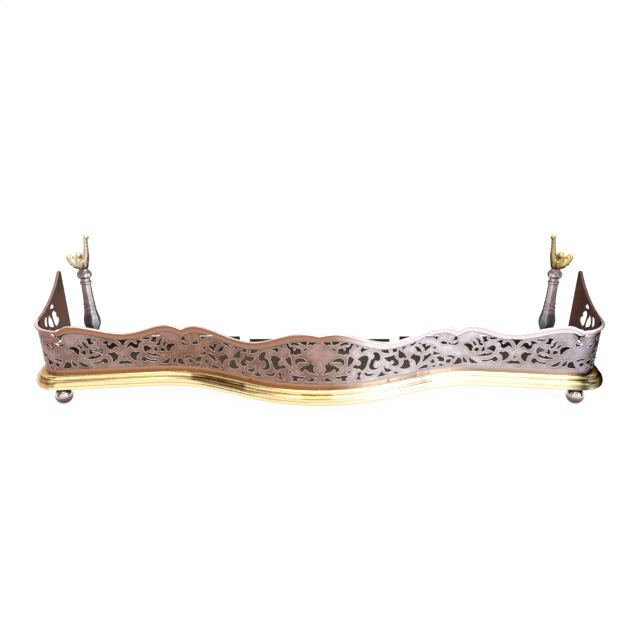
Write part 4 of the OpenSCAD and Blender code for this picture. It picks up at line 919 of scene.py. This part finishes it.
# Painted shade: the cast brass is darker in its crevices and on the leaves' undersides.
crevice = tree.nodes.new("ShaderNodeNewGeometry")
crevice_share = add_ramp(tree, crevice.outputs["Pointiness"], [(0.45, grey(0)), (0.52, grey(1))])
side_share = add_half_share(tree)
leaf_tone = add_mix(tree, side_share, (0.95, 0.84, 0.58), (0.78, 0.56, 0.22))
recess_tone = add_mix(tree, side_share, (0.34, 0.22, 0.17), (0.075, 0.05, 0.022))
underside = add_ramp(tree, add_facing(tree, (0, 0, 1)), [(0.3, grey(1)), (0.6, grey(0))])
leaf_and_shaded_underside = add_mix(tree, underside, leaf_tone, add_mix(tree, side_share, (0.50, 0.40, 0.30),
    (0.24, 0.14, 0.05)))
FOOT_DARK_HEIGHT = 0.02  # the crook is darker at its foot, fading out over this height
crook_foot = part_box("left_crook")[0].z
foot_darkening = add_ramp(tree, add_share(tree, "Z", crook_foot, crook_foot + FOOT_DARK_HEIGHT),
    [(0.1, grey(0.35)), (0.6, grey(1))])
tree.links.new(add_product(tree, add_mix(tree, crevice_share, recess_tone, leaf_and_shaded_underside), foot_darkening),
    surface.inputs["Base Color"])
patina = add_noise(tree, 160, 4, 0.6)
tree.links.new(add_ramp(tree, patina, [(0.3, grey(0.22)), (0.8, grey(0.38))]),
    surface.inputs["Roughness"])
add_bump(tree, surface, patina, 0.1, 0.0006)

# The right crook's leaves in millimetres, as stations along each: how far out from the post,
# how far up from its seat, and half the width along X and along Y. A tooth is one station.
STEM = [(-1, 8, 8.6, 9.0), (-6.8, 18, 8.6, 8.6), (-10.6, 30, 7.4, 7.2), (-12.6, 43, 5.8, 6.0),
        (-14.4, 57, 4.8, 5.2), (-16.0, 71, 4.6, 5.2)]
STEM_CURL = [(-16.8, 74.8, 4.8, 5.4), (-19.4, 74.6, 3.8, 5.2), (-20.6, 71.6, 2.8, 4.6)]
LEAF = [(2, 6, 9.0, 9.6), (12, 10, 9.4, 10), (21, 17, 8.0, 9.2), (27, 24, 6.8, 8.2),
        (28.6, 28.6, 5.4, 7.4)]
ROLL = [(6, 17, 7.0, 9.0), (8.6, 25, 6.8, 9.6), (7.4, 30.6, 5.6, 9.8), (3.0, 31.6, 4.6, 9.2)]
TEETH = [(10, 0.6, 4.0, 5.2), (17.5, 5.2, 4.2, 5.2), (24, 11.2, 4.2, 5.2), (29, 19, 3.6, 4.8),
         (-15.8, 40, 3.3, 4.2), (-16.5, 48, 3.2, 4.0), (-17.0, 56, 3.1, 3.8),
         (-17.9, 64, 3.0, 3.6), (21.5, 26, 3.2, 7.0)]
CUP_FOOT_R, CUP_LIP_R, CUP_H = 9.4, 12.2, 21
VEINS = 7  # ribs up the side of the cup
VEIN_TOP = 20
VEIN_R, VEIN_SWELL = 1.4, 1.2  # their half-width at the ends, and what is added midway
BLOB_STEP = 0.6  # spacing of the blobs that build up a leaf
SKIN_CELL = 0.6  # size of the cells of the skin that joins them
SKIN_SOFTENINGS = 20


def add_blob(x, z, half_x, half_y, y=0.0):
    bpy.ops.mesh.primitive_uv_sphere_add(segments=24, ring_count=16, radius=1,
        location=(x, y, z), scale=(half_x, half_y, (half_x + half_y) / 2))
    return bpy.context.active_object


def add_leaf(stations):
    """Blobs set close along a curve that runs through the stations."""
    blobs = []
    for here, ahead in zip(stations, stations[1:]):
        gap = math.dist(here[:2], ahead[:2])
        count = max(2, round(gap / BLOB_STEP))
        for k in range(count):
            x, z, half_x, half_y = (a + (b - a) * k / count for a, b in zip(here, ahead))
            blobs.append(add_blob(x, z, half_x, half_y))
    return blobs


def add_crook(side, toward):
    """The crook with its seat at the origin, joined to one skin, then moved to its post."""
    bpy.ops.mesh.primitive_cone_add(vertices=48, radius1=CUP_FOOT_R, radius2=CUP_LIP_R,
        depth=CUP_H, location=(0, 0, CUP_H / 2))
    blobs = [bpy.context.active_object]
    for run in (STEM, STEM_CURL, LEAF, ROLL):
        blobs += add_leaf(run)
    blobs += [add_blob(*tooth) for tooth in TEETH]
    for k in range(VEINS):
        turn = 2 * math.pi * k / VEINS
        for z in range(2, VEIN_TOP - 1):
            reach = CUP_FOOT_R + (CUP_LIP_R - CUP_FOOT_R) * z / CUP_H
            size = VEIN_R + VEIN_SWELL * math.sin(math.pi * z / VEIN_TOP)
            blobs.append(add_blob(reach * math.cos(turn), z, size, size, reach * math.sin(turn)))
    bpy.ops.object.select_all(action="DESELECT")
    for blob in blobs:
        blob.select_set(True)
    crook = blobs[0]
    bpy.context.view_layer.objects.active = crook
    bpy.ops.object.join()
    crook.name = side + "_crook_leaves"
    bpy.ops.object.transform_apply(location=True, rotation=True, scale=True)
    skin = crook.modifiers.new("skin", "REMESH")
    skin.mode = "VOXEL"
    skin.voxel_size = SKIN_CELL
    skin.use_smooth_shade = True
    bpy.ops.object.modifier_apply(modifier=skin.name)
    soften = crook.modifiers.new("soften", "SMOOTH")
    soften.factor = 0.5
    soften.iterations = SKIN_SOFTENINGS
    bpy.ops.object.modifier_apply(modifier=soften.name)
    low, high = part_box(side + "_crook")
    post_low, post_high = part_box(side + "_post")
    axis = (post_low + post_high) / 2
    for vertex in crook.data.vertices:
        x, y, z = vertex.co
        place = (axis.x + toward * x / 1000, axis.y + y / 1000, low.z + z / 1000)
        vertex.co = [min(max(value, least), most)
                     for value, least, most in zip(place, low, high)]
    only(crook)
    bpy.ops.object.mode_set(mode="EDIT")
    bpy.ops.mesh.select_all(action="SELECT")
    bpy.ops.mesh.normals_make_consistent(inside=False)
    bpy.ops.mesh.select_all(action="DESELECT")
    bpy.ops.object.mode_set(mode="OBJECT")
    bpy.ops.object.shade_smooth()
    crook.data.materials.clear()
    crook.data.materials.append(cast_brass)
    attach(crook, side + "_rest")
    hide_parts(side + "_crook")


add_crook("left", -1)
add_crook("right", 1)
